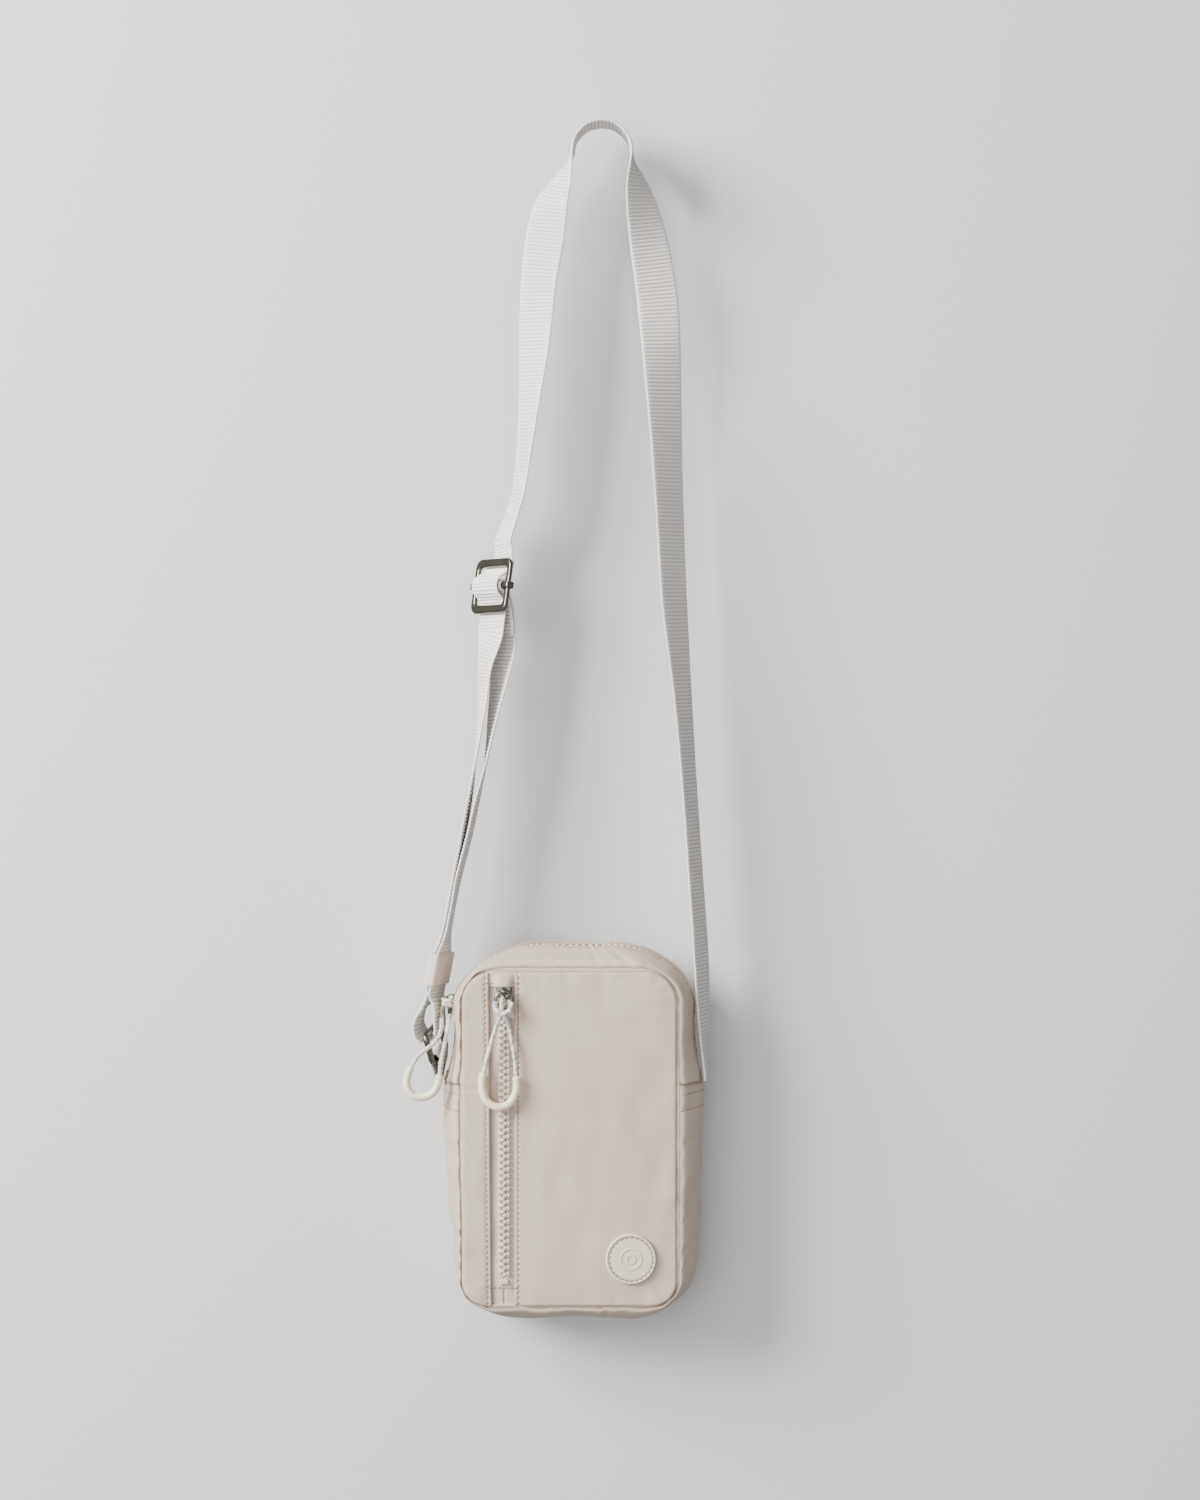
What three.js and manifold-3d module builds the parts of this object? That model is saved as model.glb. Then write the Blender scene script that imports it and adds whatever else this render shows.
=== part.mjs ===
// A small padded camera bag on a webbing shoulder strap, hanging by the strap.
// Units are millimetres. +X is to the wearer's right of the bag face, -Y is the front, +Z is up.
// The origin is the underside of the strap at the top of its arc, where a peg would carry it.
import * as THREE from "three";
import { mergeVertices } from "three/addons/utils/BufferGeometryUtils.js";
import Module from "manifold-3d";

const wasm = await Module();
wasm.setup();

// ---------------------------------------------------------------- driving dimensions

const gap = 0.3; // clearance between pieces that touch
const webbingWidth = 23;
const webbingThickness = 1.5;
const pegRadius = 15.5; // inside radius of the strap's top arc

const halfDepth = 22.5; // outside faces of the front and back panels
const panelThickness = 2.4;
const wallThickness = 2.4; // padded gusset
const tapeThickness = 0.7;
const teethHeight = 1.85;
const chainHalfWidth = 2.6;

// Seam outline of the front and back panels, and the fuller outline halfway through the depth.
const seamOutline = {
  left: -76.6, leftAbove: -76.6, right: 41.2, rightAbove: 41.2, top: -463.4, bottom: -646.3,
  radii: { bottomLeft: 14, topLeft: 17.5, topRight: 17.5, bottomRight: 14 },
};
const fullOutline = {
  left: -88, leftAbove: -81.6, right: 55.6, rightAbove: 51.3, top: -449, bottom: -655,
  radii: { bottomLeft: 24, topLeft: 33, topRight: 37, bottomRight: 31 },
};
const sideSeamZ = -525; // horizontal seams where the zip gusset meets the lower gusset
const flare = { left: [-532, -505], right: [-535, -495] }; // heights between which each side swells

const frontZip = { x: -53.2, windowLeft: -61.4, windowRight: -47.4, chainTop: -487, chainBottom: -630.5 };
const frontSliderZ = -474.1;
const mainZip = { y: -2, windowHalf: 5, tapeHalf: 9 };
const mainSliderZ = -479;

const pullRing = { radius: 3.75, wire: 0.85 };
const cordRadius = 1.05;
const gripRadius = 2.1;

const patch = { x: 15.7, z: -619.7, radius: 13.6, thickness: 1.4 };

const adjuster = {
  centre: [-60.5, 0, -253.6], turn: 38, lean: 12,
  width: 32.4, height: 30.5, opening: 26, bar: 4.6, thickness: 2.4,
};
const sideRing = {
  top: [-93, 0, -496.7], bottom: [-89.7, 0, -512],
  width: 31, opening: 25.6, bar: 3.2, thickness: 2.8,
};
const keeper = { centre: [-89.4, 0, -463.7], turn: -18, lean: 12, width: 26.4, depth: 7.4, wall: 1.1, height: 17.6 };

// ---------------------------------------------------------------- geometry helpers

const vec = (x, y, z) => new THREE.Vector3(x, y, z);

// Direction of a webbing's front edge, turned by an angle in degrees from -Y towards +X.
function edgeDirection(turn) {
  const angle = THREE.MathUtils.degToRad(turn);
  return vec(Math.sin(angle), -Math.cos(angle), 0);
}

function signedVolume(geometry) {
  const position = geometry.getAttribute("position");
  const index = geometry.index;
  const corners = [vec(0, 0, 0), vec(0, 0, 0), vec(0, 0, 0)];
  let volume = 0;
  for (let i = 0; i < index.count; i += 3) {
    corners.forEach((corner, k) => corner.fromBufferAttribute(position, index.getX(i + k)));
    volume += corners[0].dot(corners[1].clone().cross(corners[2])) / 6;
  }
  return volume;
}

// Closed solid through a row of stations. Each station has an outer and an inner row of points of equal length.
function loft(stations) {
  const positions = [];
  const index = [];
  const rowLength = stations[0].outer.length;
  const ring = rowLength * 2;
  for (const { outer, inner } of stations) {
    for (const point of [...outer, ...[...inner].reverse()]) {
      positions.push(point.x, point.y, point.z);
    }
  }
  for (let s = 0; s + 1 < stations.length; s += 1) {
    for (let i = 0; i < ring; i += 1) {
      const a = s * ring + i;
      const b = s * ring + ((i + 1) % ring);
      index.push(a, b, b + ring, a, b + ring, a + ring);
    }
  }
  const last = (stations.length - 1) * ring;
  for (let i = 0; i + 1 < rowLength; i += 1) {
    const [a, b, c, d] = [i, i + 1, ring - 2 - i, ring - 1 - i];
    index.push(a, d, c, a, c, b);
    index.push(last + a, last + b, last + c, last + a, last + c, last + d);
  }
  const geometry = new THREE.BufferGeometry();
  geometry.setAttribute("position", new THREE.Float32BufferAttribute(positions, 3));
  geometry.setIndex(index);
  if (signedVolume(geometry) < 0) {
    for (let i = 0; i < index.length; i += 3) {
      [index[i + 1], index[i + 2]] = [index[i + 2], index[i + 1]];
    }
    geometry.setIndex(index);
  }
  return geometry;
}

function toSolid(geometry) {
  const bare = geometry.clone();
  bare.deleteAttribute("normal");
  bare.deleteAttribute("uv");
  const merged = mergeVertices(bare, 1e-4);
  return new wasm.Manifold(new wasm.Mesh({
    numProp: 3,
    vertProperties: new Float32Array(merged.getAttribute("position").array),
    triVerts: new Uint32Array(merged.index.array),
  }));
}

function toGeometry(solid) {
  const mesh = solid.getMesh();
  const geometry = new THREE.BufferGeometry();
  geometry.setAttribute("position", new THREE.Float32BufferAttribute(Array.from(mesh.vertProperties), 3));
  geometry.setIndex(Array.from(mesh.triVerts));
  return geometry;
}

const join = (...geometries) => toGeometry(geometries.map(toSolid).reduce((sum, part) => sum.add(part)));
const cut = (body, ...tools) => toGeometry(tools.map(toSolid).reduce((sum, tool) => sum.subtract(tool), toSolid(body)));

// Box from its lowest to its highest corner.
function block(low, high) {
  const geometry = new THREE.BoxGeometry(high[0] - low[0], high[1] - low[1], high[2] - low[2]);
  return geometry.translate((low[0] + high[0]) / 2, (low[1] + high[1]) / 2, (low[2] + high[2]) / 2);
}

// Extrudes an outline drawn in the XZ plane from one depth to another.
function plate(outline, frontY, backY) {
  const shape = new THREE.Shape(outline.map(({ x, z }) => new THREE.Vector2(x, z)));
  const geometry = new THREE.ExtrudeGeometry(shape, { depth: backY - frontY, bevelEnabled: false });
  geometry.rotateX(Math.PI / 2);
  return geometry.translate(0, backY, 0);
}

// Round rod along a curve through hand-set points.
function rod(points, radius, sides, steps) {
  const section = new THREE.Shape();
  for (let i = 0; i < sides; i += 1) {
    const angle = (2 * Math.PI * i) / sides;
    const [x, y] = [radius * Math.cos(angle), radius * Math.sin(angle)];
    if (i === 0) {
      section.moveTo(x, y);
    } else {
      section.lineTo(x, y);
    }
  }
  section.closePath();
  const path = new THREE.CatmullRomCurve3(points.map((p) => vec(...p)), false, "centripetal");
  return new THREE.ExtrudeGeometry(section, { extrudePath: path, steps, bevelEnabled: false });
}

// Flat webbing along a route of { point, edge }, where edge points to the webbing's front edge.
function webbing(route, step = 8, width = webbingWidth, thickness = webbingThickness) {
  const line = new THREE.CatmullRomCurve3(route.map(({ point }) => point), false, "centripetal");
  const edges = new THREE.CatmullRomCurve3(route.map(({ edge }) => edge), false, "centripetal");
  const stations = [];
  const spans = route.length - 1;
  for (let s = 0; s < spans; s += 1) {
    const count = Math.max(1, Math.ceil(route[s].point.distanceTo(route[s + 1].point) / step));
    for (let i = 0; i < count + (s === spans - 1 ? 1 : 0); i += 1) {
      const t = (s + i / count) / spans;
      const centre = line.getPoint(t);
      const along = line.getTangent(t);
      const edge = edges.getPoint(t);
      edge.addScaledVector(along, -edge.dot(along)).normalize();
      const face = along.clone().cross(edge).multiplyScalar(thickness / 2);
      const half = edge.multiplyScalar(width / 2);
      stations.push({
        outer: [centre.clone().add(face).sub(half), centre.clone().add(face).add(half)],
        inner: [centre.clone().sub(face).sub(half), centre.clone().sub(face).add(half)],
      });
    }
  }
  return loft(stations);
}

// Route points set in the XZ plane: rows of [x, z, turn].
const planeRoute = (rows, y = 0) => rows.map(([x, z, turn]) => ({ point: vec(x, y, z), edge: edgeDirection(turn) }));

// ---------------------------------------------------------------- outlines of the bag

// A closed outline is walked in eleven stretches, from the bottom centre up the left side and back:
// 0 bottom, 1 corner, 2 left below the seam, 3 left above it, 4 corner, 5 top, 6 corner,
// 7 right above the seam, 8 right below it, 9 corner, 10 bottom.
const seamLeftU = 3;
const seamRightU = 8;

function sideX(outline, side, z) {
  const [low, high] = flare[side];
  const below = outline[side];
  const above = outline[`${side}Above`];
  return THREE.MathUtils.lerp(below, above, THREE.MathUtils.smoothstep(z, low, high));
}

function outlinePoint(outline, u) {
  const { left, leftAbove, right, rightAbove, top, bottom, radii } = outline;
  const stretch = Math.min(Math.floor(u), 10);
  const t = u - stretch;
  const middle = (left + right) / 2;
  const corner = (x, z, radius, startAngle) => {
    const angle = THREE.MathUtils.degToRad(startAngle - 90 * t);
    return { x: x + radius * Math.cos(angle), z: z + radius * Math.sin(angle) };
  };
  const side = (name, from, to) => {
    const z = THREE.MathUtils.lerp(from, to, t);
    return { x: sideX(outline, name, z), z };
  };
  switch (stretch) {
    case 0: return { x: THREE.MathUtils.lerp(middle, left + radii.bottomLeft, t), z: bottom };
    case 1: return corner(left + radii.bottomLeft, bottom + radii.bottomLeft, radii.bottomLeft, 270);
    case 2: return side("left", bottom + radii.bottomLeft, sideSeamZ);
    case 3: return side("left", sideSeamZ, top - radii.topLeft);
    case 4: return corner(leftAbove + radii.topLeft, top - radii.topLeft, radii.topLeft, 180);
    case 5: return { x: THREE.MathUtils.lerp(leftAbove + radii.topLeft, rightAbove - radii.topRight, t), z: top };
    case 6: return corner(rightAbove - radii.topRight, top - radii.topRight, radii.topRight, 90);
    case 7: return side("right", top - radii.topRight, sideSeamZ);
    case 8: return side("right", sideSeamZ, bottom + radii.bottomRight);
    case 9: return corner(right - radii.bottomRight, bottom + radii.bottomRight, radii.bottomRight, 0);
    default: return { x: THREE.MathUtils.lerp(right - radii.bottomRight, middle, t), z: bottom };
  }
}

// Evenly spread walk from one outline position to another, finer on the corners.
function outlineWalk(from, to, straightSteps = 5, cornerSteps = 7) {
  const walk = [from];
  for (let stretch = Math.floor(from); stretch < to; stretch += 1) {
    const steps = [1, 4, 6, 9].includes(stretch % 11) ? cornerSteps : straightSteps;
    for (let i = 1; i <= steps; i += 1) {
      const u = stretch + i / steps;
      if (u > from + 1e-6 && u < to - 1e-6) {
        walk.push(u);
      }
    }
  }
  walk.push(to);
  return walk;
}

// How full the gusset is at a depth: 0 at the seams and 1 halfway.
function fullness(y) {
  const across = Math.min(Math.abs(y) / (halfDepth - panelThickness), 1);
  return (1 - across ** 2.4) ** 0.9;
}

// Point of the gusset's outer surface, moved out along the outline's normal by an offset.
function gussetPoint(u, y, offset) {
  const at = (v) => {
    const wrapped = (v + 11) % 11;
    const seam = outlinePoint(seamOutline, wrapped);
    const full = outlinePoint(fullOutline, wrapped);
    const blend = fullness(y);
    return { x: THREE.MathUtils.lerp(seam.x, full.x, blend), z: THREE.MathUtils.lerp(seam.z, full.z, blend) };
  };
  const here = at(u);
  const before = outlinePoint(fullOutline, (u - 0.02 + 11) % 11);
  const after = outlinePoint(fullOutline, (u + 0.02) % 11);
  const along = vec(after.x - before.x, 0, after.z - before.z).normalize();
  return vec(here.x - along.z * offset, y, here.z + along.x * offset);
}

// Curved strip of the gusset: rows of depths, and outer and inner offsets from the outer surface.
function gussetStrip(walk, depths, outerOffset, innerOffset) {
  return loft(walk.map((u) => ({
    outer: depths.map((y) => gussetPoint(u, y, outerOffset)),
    inner: depths.map((y) => gussetPoint(u, y, innerOffset)),
  })));
}

const seamGapU = 0.006;
const upperWalk = outlineWalk(seamLeftU + seamGapU, seamRightU - seamGapU);
const lowerWalk = outlineWalk(seamRightU + seamGapU, seamLeftU + 11 - seamGapU);

// ---------------------------------------------------------------- frames for the turned hardware

// Matrix whose X runs towards the front edge, Y up the piece and Z out of its face.
function pieceFrame(centre, across, up) {
  const x = across.clone().normalize();
  const y = up.clone().addScaledVector(x, -up.dot(x)).normalize();
  const z = x.clone().cross(y);
  return new THREE.Matrix4().makeBasis(x, y, z).setPosition(...centre);
}

function leaning(lean) {
  const angle = THREE.MathUtils.degToRad(lean);
  return vec(Math.sin(angle), 0, Math.cos(angle));
}

const adjusterFrame = pieceFrame(adjuster.centre, edgeDirection(adjuster.turn), leaning(adjuster.lean));
const keeperFrame = pieceFrame(keeper.centre, edgeDirection(keeper.turn), leaning(keeper.lean));
const ringEdge = vec(-0.2, -0.96, -0.2);
const ringTop = vec(...sideRing.top);
const ringBottom = vec(...sideRing.bottom);
const ringCentre = ringTop.clone().add(ringBottom).multiplyScalar(0.5);
const ringHeight = ringTop.distanceTo(ringBottom) + sideRing.bar;
const ringFrame = pieceFrame(ringCentre.toArray(), ringEdge, ringTop.clone().sub(ringBottom));

// Point of a piece's frame, from distances up the piece and out of its face.
const inFrame = (frame, up, out) => vec(0, up, out).applyMatrix4(frame);
const frameEdge = (frame) => vec(0, 0, 0).setFromMatrixColumn(frame, 0);
const frameRoute = (frame, rows) => rows.map(([up, out]) => ({ point: inFrame(frame, up, out), edge: frameEdge(frame) }));

// ---------------------------------------------------------------- materials

const finish = (color, roughness, metalness = 0) => new THREE.MeshStandardMaterial({ color, roughness, metalness });
const materials = {
  shell: finish(0xc8c1ba, 0.62),
  webbing: finish(0xe4e0dc, 0.75),
  tape: finish(0xb9a59a, 0.8),
  teeth: finish(0xd5ccc2, 0.45),
  lining: finish(0xb5aea6, 0.8),
  foam: finish(0xe8e4dc, 0.9),
  gunmetal: finish(0x5a5a52, 0.28, 0.9),
  cord: finish(0xd9d4c4, 0.8),
  grip: finish(0xe0dac8, 0.5),
  rubber: finish(0xd6d2c6, 0.6),
};

const bag = new THREE.Group();

function piece(name, geometry, material, matrix = null) {
  const mesh = new THREE.Mesh(geometry, material);
  mesh.name = name;
  if (matrix) {
    mesh.applyMatrix4(matrix);
  }
  bag.add(mesh);
}

// ---------------------------------------------------------------- panels and gussets

function panelOutline(inset = 0) {
  const walk = outlineWalk(0, 11).slice(0, -1);
  return walk.map((u) => {
    const here = outlinePoint(seamOutline, u);
    const before = outlinePoint(seamOutline, (u - 0.01 + 11) % 11);
    const after = outlinePoint(seamOutline, (u + 0.01) % 11);
    const along = vec(after.x - before.x, 0, after.z - before.z).normalize();
    return { x: here.x + along.z * inset, z: here.z - along.x * inset };
  });
}

const farAway = 400;

function frontPanelHalves() {
  const front = -halfDepth;
  const back = front + panelThickness;
  const whole = plate(panelOutline(), front, back);
  const rightOf = block([frontZip.windowLeft, front - 1, -700], [farAway, back + 1, -400]);
  const leftOf = block([-farAway, front - 1, -700], [frontZip.windowRight, back + 1, -400]);
  piece("front_panel_left", cut(whole, rightOf), materials.shell);
  piece("front_panel_right", cut(whole, leftOf), materials.shell);
  const garageLow = frontSliderZ + 5.2;
  piece(
    "front_zip_garage",
    block([frontZip.windowLeft + gap, front + 0.2, garageLow], [frontZip.windowRight - gap, back - gap, seamOutline.top]),
    materials.shell,
  );
}

function gussets() {
  const edge = halfDepth - panelThickness - gap;
  const windowFront = mainZip.y - mainZip.windowHalf;
  const windowBack = mainZip.y + mainZip.windowHalf;
  const wholeDepths = [-edge, -17.5, -13, -7, 0, 7, 13, 17.5, edge];
  const frontDepths = [-edge, -17.5, -14.5, mainZip.y - mainZip.tapeHalf, windowFront];
  const backDepths = [windowBack, mainZip.y + mainZip.tapeHalf, 11, 15, 17.5, edge];
  piece("lower_gusset", gussetStrip(lowerWalk, wholeDepths, 0, -wallThickness), materials.shell);
  piece("zip_gusset_front", gussetStrip(upperWalk, frontDepths, 0, -wallThickness), materials.shell);
  piece("zip_gusset_back", gussetStrip(upperWalk, backDepths, 0, -wallThickness), materials.shell);
}

function backPanel() {
  piece("back_panel", plate(panelOutline(), halfDepth - panelThickness, halfDepth), materials.shell);
  const padFront = halfDepth - panelThickness - gap - 3;
  piece("back_foam_pad", plate(panelOutline(4), padFront, padFront + 3), materials.foam);
}

// ---------------------------------------------------------------- zips

// Half of the moulded zip in the front pocket: a woven tape with teeth standing on its edge.
function frontZipHalf(direction) {
  const tapeFront = -halfDepth + panelThickness + gap;
  const reach = direction < 0 ? frontZip.windowLeft - 5 : frontZip.windowRight + 5;
  const inner = frontZip.x + direction * 0.2;
  const low = [Math.min(reach, inner), tapeFront, seamOutline.bottom + 5];
  const high = [Math.max(reach, inner), tapeFront + tapeThickness, seamOutline.top - 5];
  const pitch = 3.55;
  const count = Math.floor((frontZip.chainTop - frontZip.chainBottom) / pitch);
  const comb = [];
  const spine = frontZip.x + direction * chainHalfWidth;
  for (let i = 0; i < count; i += 1) {
    const z = frontZip.chainTop - i * pitch - (direction < 0 ? 0 : pitch / 2);
    comb.push({ x: spine - direction * 0.9, z: z }, { x: inner, z: z - 0.3 });
    comb.push({ x: inner, z: z - 1.7 }, { x: spine - direction * 0.9, z: z - 2 });
  }
  comb.push({ x: spine, z: comb[comb.length - 1].z }, { x: spine, z: comb[0].z });
  const teethFront = tapeFront - teethHeight;
  const teeth = plate(direction < 0 ? comb : comb.reverse(), teethFront, tapeFront + 0.2);
  return join(block(low, high), teeth);
}

// Half of the main zip: tape under the gusset's edge, with its row of teeth along the middle of the window.
function mainZipHalf(direction) {
  const inner = mainZip.y + direction * 0.2;
  const chainEdge = mainZip.y + direction * chainHalfWidth;
  const outer = mainZip.y + direction * mainZip.tapeHalf;
  const tapeTop = -wallThickness - gap;
  const walk = outlineWalk(seamLeftU + 0.02, seamRightU - 0.02, 5, 7);
  const windowEdge = mainZip.y + direction * mainZip.windowHalf;
  const tape = gussetStrip(walk, [inner, windowEdge, outer], tapeTop, tapeTop - tapeThickness);
  const chainWalk = outlineWalk(seamLeftU + 0.12, seamRightU - 0.12, 5, 7);
  const chain = gussetStrip(chainWalk, [inner + direction * 0.1, chainEdge], tapeTop + teethHeight, tapeTop - tapeThickness / 2);
  return join(tape, chain);
}

function zips() {
  piece("front_zip_half_left", frontZipHalf(-1), materials.tape);
  piece("front_zip_half_right", frontZipHalf(1), materials.tape);
  const tapeFront = -halfDepth + panelThickness + gap;
  piece(
    "front_zip_bottom_stop",
    block(
      [frontZip.x - chainHalfWidth, tapeFront - gap - 1.8, frontZip.chainBottom - 3.4],
      [frontZip.x + chainHalfWidth, tapeFront - gap, frontZip.chainBottom - 0.4],
    ),
    materials.gunmetal,
  );
  piece("main_zip_half_front", mainZipHalf(-1), materials.tape);
  piece("main_zip_half_back", mainZipHalf(1), materials.tape);
  const endDepths = [mainZip.y - mainZip.windowHalf + gap, mainZip.y, mainZip.y + mainZip.windowHalf - gap];
  const leftEnd = outlineWalk(seamLeftU + seamGapU, seamLeftU + 0.13);
  const rightEnd = outlineWalk(seamRightU - 0.13, seamRightU - seamGapU);
  piece("main_zip_end_left", gussetStrip(leftEnd, endDepths, 0.1, -0.55), materials.shell);
  piece("main_zip_end_right", gussetStrip(rightEnd, endDepths, 0.1, -0.55), materials.shell);
}

// ---------------------------------------------------------------- sliders and pulls

const bailHole = { up: 0.6, out: 4.9 }; // centre of the hole that carries the pull ring

// Slider in its own frame: X across the chain, Y along it, Z out; Z = 0 is the top of the teeth.
function sliderBody() {
  const outline = new THREE.Shape();
  outline.moveTo(-3.2, -4.7);
  outline.lineTo(3.2, -4.7);
  outline.quadraticCurveTo(3.9, -1.5, 4.3, 1.5);
  outline.lineTo(4.3, 3.6);
  outline.quadraticCurveTo(4.1, 4.7, 2.8, 4.7);
  outline.lineTo(-2.8, 4.7);
  outline.quadraticCurveTo(-4.1, 4.7, -4.3, 3.6);
  outline.lineTo(-4.3, 1.5);
  outline.quadraticCurveTo(-3.9, -1.5, -3.2, -4.7);
  const top = new THREE.ExtrudeGeometry(outline, { depth: 1.4, bevelEnabled: false, curveSegments: 3 });
  top.translate(0, 0, 0.35);
  const flangeLeft = block([-4.25, 0, -1.2], [-3.1, 3.8, 0.6]);
  const flangeRight = block([3.1, 0, -1.2], [4.25, 3.8, 0.6]);
  const bail = block([-1.1, -2.9, 1.5], [1.1, 3.9, bailHole.out + 1.8]);
  const hole = block([-2, bailHole.up - 1.6, bailHole.out - 1.2], [2, bailHole.up + 1.6, bailHole.out + 1.2]);
  return cut(join(top, flangeLeft, flangeRight, bail), hole);
}

const ringCentreDrop = pullRing.radius - bailHole.up + 0.1;

// Round wire ring hanging from the bail, in the slider's frame.
function pullRingBody() {
  const ring = new THREE.TorusGeometry(pullRing.radius, pullRing.wire, 8, 20);
  return ring.translate(0, -ringCentreDrop, bailHole.out);
}

const teethTopFront = -halfDepth + panelThickness + gap - teethHeight;
const frontSliderFrame = new THREE.Matrix4()
  .makeBasis(vec(1, 0, 0), vec(0, 0, 1), vec(0, -1, 0))
  .setPosition(frontZip.x, teethTopFront, frontSliderZ);
const mainSurface = gussetPoint(4, mainZip.y, -wallThickness - gap + teethHeight);
const mainSliderFrame = new THREE.Matrix4()
  .makeBasis(vec(0, -1, 0), vec(0, 0, 1), vec(-1, 0, 0))
  .setPosition(mainSurface.x, mainZip.y, mainSliderZ);

// Cord of the front pull: from the left arm of its grip, up and round the ring's wire, and down to the right arm.
const frontCordRoute = [
  [-64.0, -26.3, -517.9], [-62.4, -26.7, -511], [-59.3, -27.4, -500], [-56.2, -28.4, -490.5],
  [-54.6, -28.9, -484.6], [-54.2, -28.9, -480.8], [-53.7, -26.55, -478.2], [-53.0, -24.2, -480.8],
  [-52.5, -24.6, -484.6], [-51.2, -25.2, -490.5], [-49.2, -25.9, -500], [-47.2, -26.2, -511], [-46.5, -26.3, -519.9],
];
const frontGripRoute = [
  [-64.1, -26.3, -518.2], [-64.9, -26.4, -522.5], [-64.7, -26.5, -528.5], [-61.6, -26.6, -534.6],
  [-55.8, -26.6, -537.0], [-49.9, -26.6, -534.8], [-46.7, -26.5, -529], [-46.2, -26.4, -524], [-46.4, -26.3, -520.2],
];

// Cord of the main pull: it passes in front of the side ring.
const mainCordRoute = [
  [-103.2, -20.4, -515.0], [-99.6, -20.4, -509.6], [-94.5, -20.2, -505.6], [-89.6, -19.0, -501.0],
  [-87.6, -15.6, -496.2], [-87.7, -9.0, -491.4], [-87.9, -4.0, -488.6], [-88.0, -2.1, -485.4],
  [-85.65, -2.0, -483.1], [-83.3, -2.1, -485.4], [-83.4, -5.0, -489.0], [-83.8, -9.2, -491.9],
  [-84.5, -14.6, -496.8], [-85.7, -18.6, -504],
  [-87.4, -20.2, -513], [-88.2, -20.4, -519.7],
];
const mainGripRoute = [
  [-103.5, -20.4, -515.4], [-105.6, -20.4, -520.4], [-106.0, -20.4, -526.4], [-102.6, -20.4, -531.4],
  [-97.6, -20.4, -532.3], [-92.6, -20.4, -530.6], [-89.3, -20.4, -525.8], [-88.3, -20.4, -520.0],
];

function slidersAndPulls() {
  piece("front_slider_body", sliderBody(), materials.gunmetal, frontSliderFrame);
  piece("front_pull_ring", pullRingBody(), materials.gunmetal, frontSliderFrame);
  piece("front_pull_cord", rod(frontCordRoute, cordRadius, 8, 44), materials.cord);
  piece("front_pull_grip", rod(frontGripRoute, gripRadius, 10, 22), materials.grip);
  piece("main_slider_body", sliderBody(), materials.gunmetal, mainSliderFrame);
  piece("main_pull_ring", pullRingBody(), materials.gunmetal, mainSliderFrame);
  piece("main_pull_cord", rod(mainCordRoute, cordRadius, 8, 44), materials.cord);
  piece("main_pull_grip", rod(mainGripRoute, gripRadius, 10, 22), materials.grip);
}

// ---------------------------------------------------------------- inside the bag

function inside() {
  const pocketBack = -halfDepth + panelThickness + gap + tapeThickness + 6.2;
  piece("front_pocket_lining", plate(panelOutline(2), pocketBack, pocketBack + 0.6), materials.lining);
  const padFront = pocketBack + 0.6 + gap;
  piece("front_foam_pad", plate(panelOutline(4), padFront, padFront + 3), materials.foam);
  const liningFront = padFront + 3 + gap;
  const liningBack = halfDepth - panelThickness - gap - 3 - gap;
  const skin = 1;
  const outside = plate(panelOutline(2), liningFront, liningBack);
  const hollow = plate(panelOutline(2 + skin), liningFront + skin, liningBack - skin);
  const mouth = block(
    [-60, mainZip.y - mainZip.windowHalf, seamOutline.top - 8],
    [25, mainZip.y + mainZip.windowHalf, seamOutline.top + 8],
  );
  piece("main_lining", cut(outside, hollow, mouth), materials.lining);
}

function badge() {
  const disc = new THREE.CylinderGeometry(patch.radius, patch.radius, patch.thickness, 40);
  disc.translate(patch.x, -halfDepth - gap - patch.thickness / 2, patch.z);
  piece("rubber_patch", disc, materials.rubber);
}

// ---------------------------------------------------------------- strap

const arcRadius = pegRadius + webbingThickness / 2;
const arcCentreZ = -pegRadius;

// Shoulder run: up the right side, over the peg's arc and down the upper left side.
function shoulderRun() {
  const rightSide = [
    [53.4, -439, -21], [52.4, -426, -21], [48.6, -371, -21], [44.5, -316, -26], [39.7, -261, -38], [36.9, -206, -43],
    [34.1, -151, -56], [30.5, -96, -78], [25.4, -63, -66], [20.2, -36, -38],
  ];
  const arc = [];
  for (let angle = 0; angle <= 180; angle += 22.5) {
    const radians = THREE.MathUtils.degToRad(angle);
    arc.push([arcRadius * Math.cos(radians), arcCentreZ + arcRadius * Math.sin(radians), 0]);
  }
  const leftSide = [
    [-22.0, -30, 30], [-28.2, -45, 56], [-31.4, -63.3, 68], [-34.7, -85.3, 60], [-37.4, -123.8, 45], [-39.9, -151.3, 31],
  ];
  piece("strap_shoulder_run", webbing(planeRoute([...rightSide, ...arc, ...leftSide])), materials.webbing);
}

function strapEnds() {
  const rightEnd = [
    [53.42, -439.3, -21], [54.6, -459, -21], [55.6, -483.5, -18], [56.2, -507, -9], [56.9, -519, -5], [57.0, -524.4, -3],
  ];
  piece("strap_right_end", webbing(planeRoute(rightEnd)), materials.webbing);
  const leftRun = [[-39.95, -151.7, 31], [-42.6, -178.8, 22], [-46, -206.3, 21], [-49, -219.3, 28]];
  const lastStretch = frameRoute(adjusterFrame, [[25.5, -2.5], [22.1, -2.65]]);
  piece("strap_left_run", webbing([...planeRoute(leftRun), ...lastStretch]), materials.webbing);
}

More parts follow.
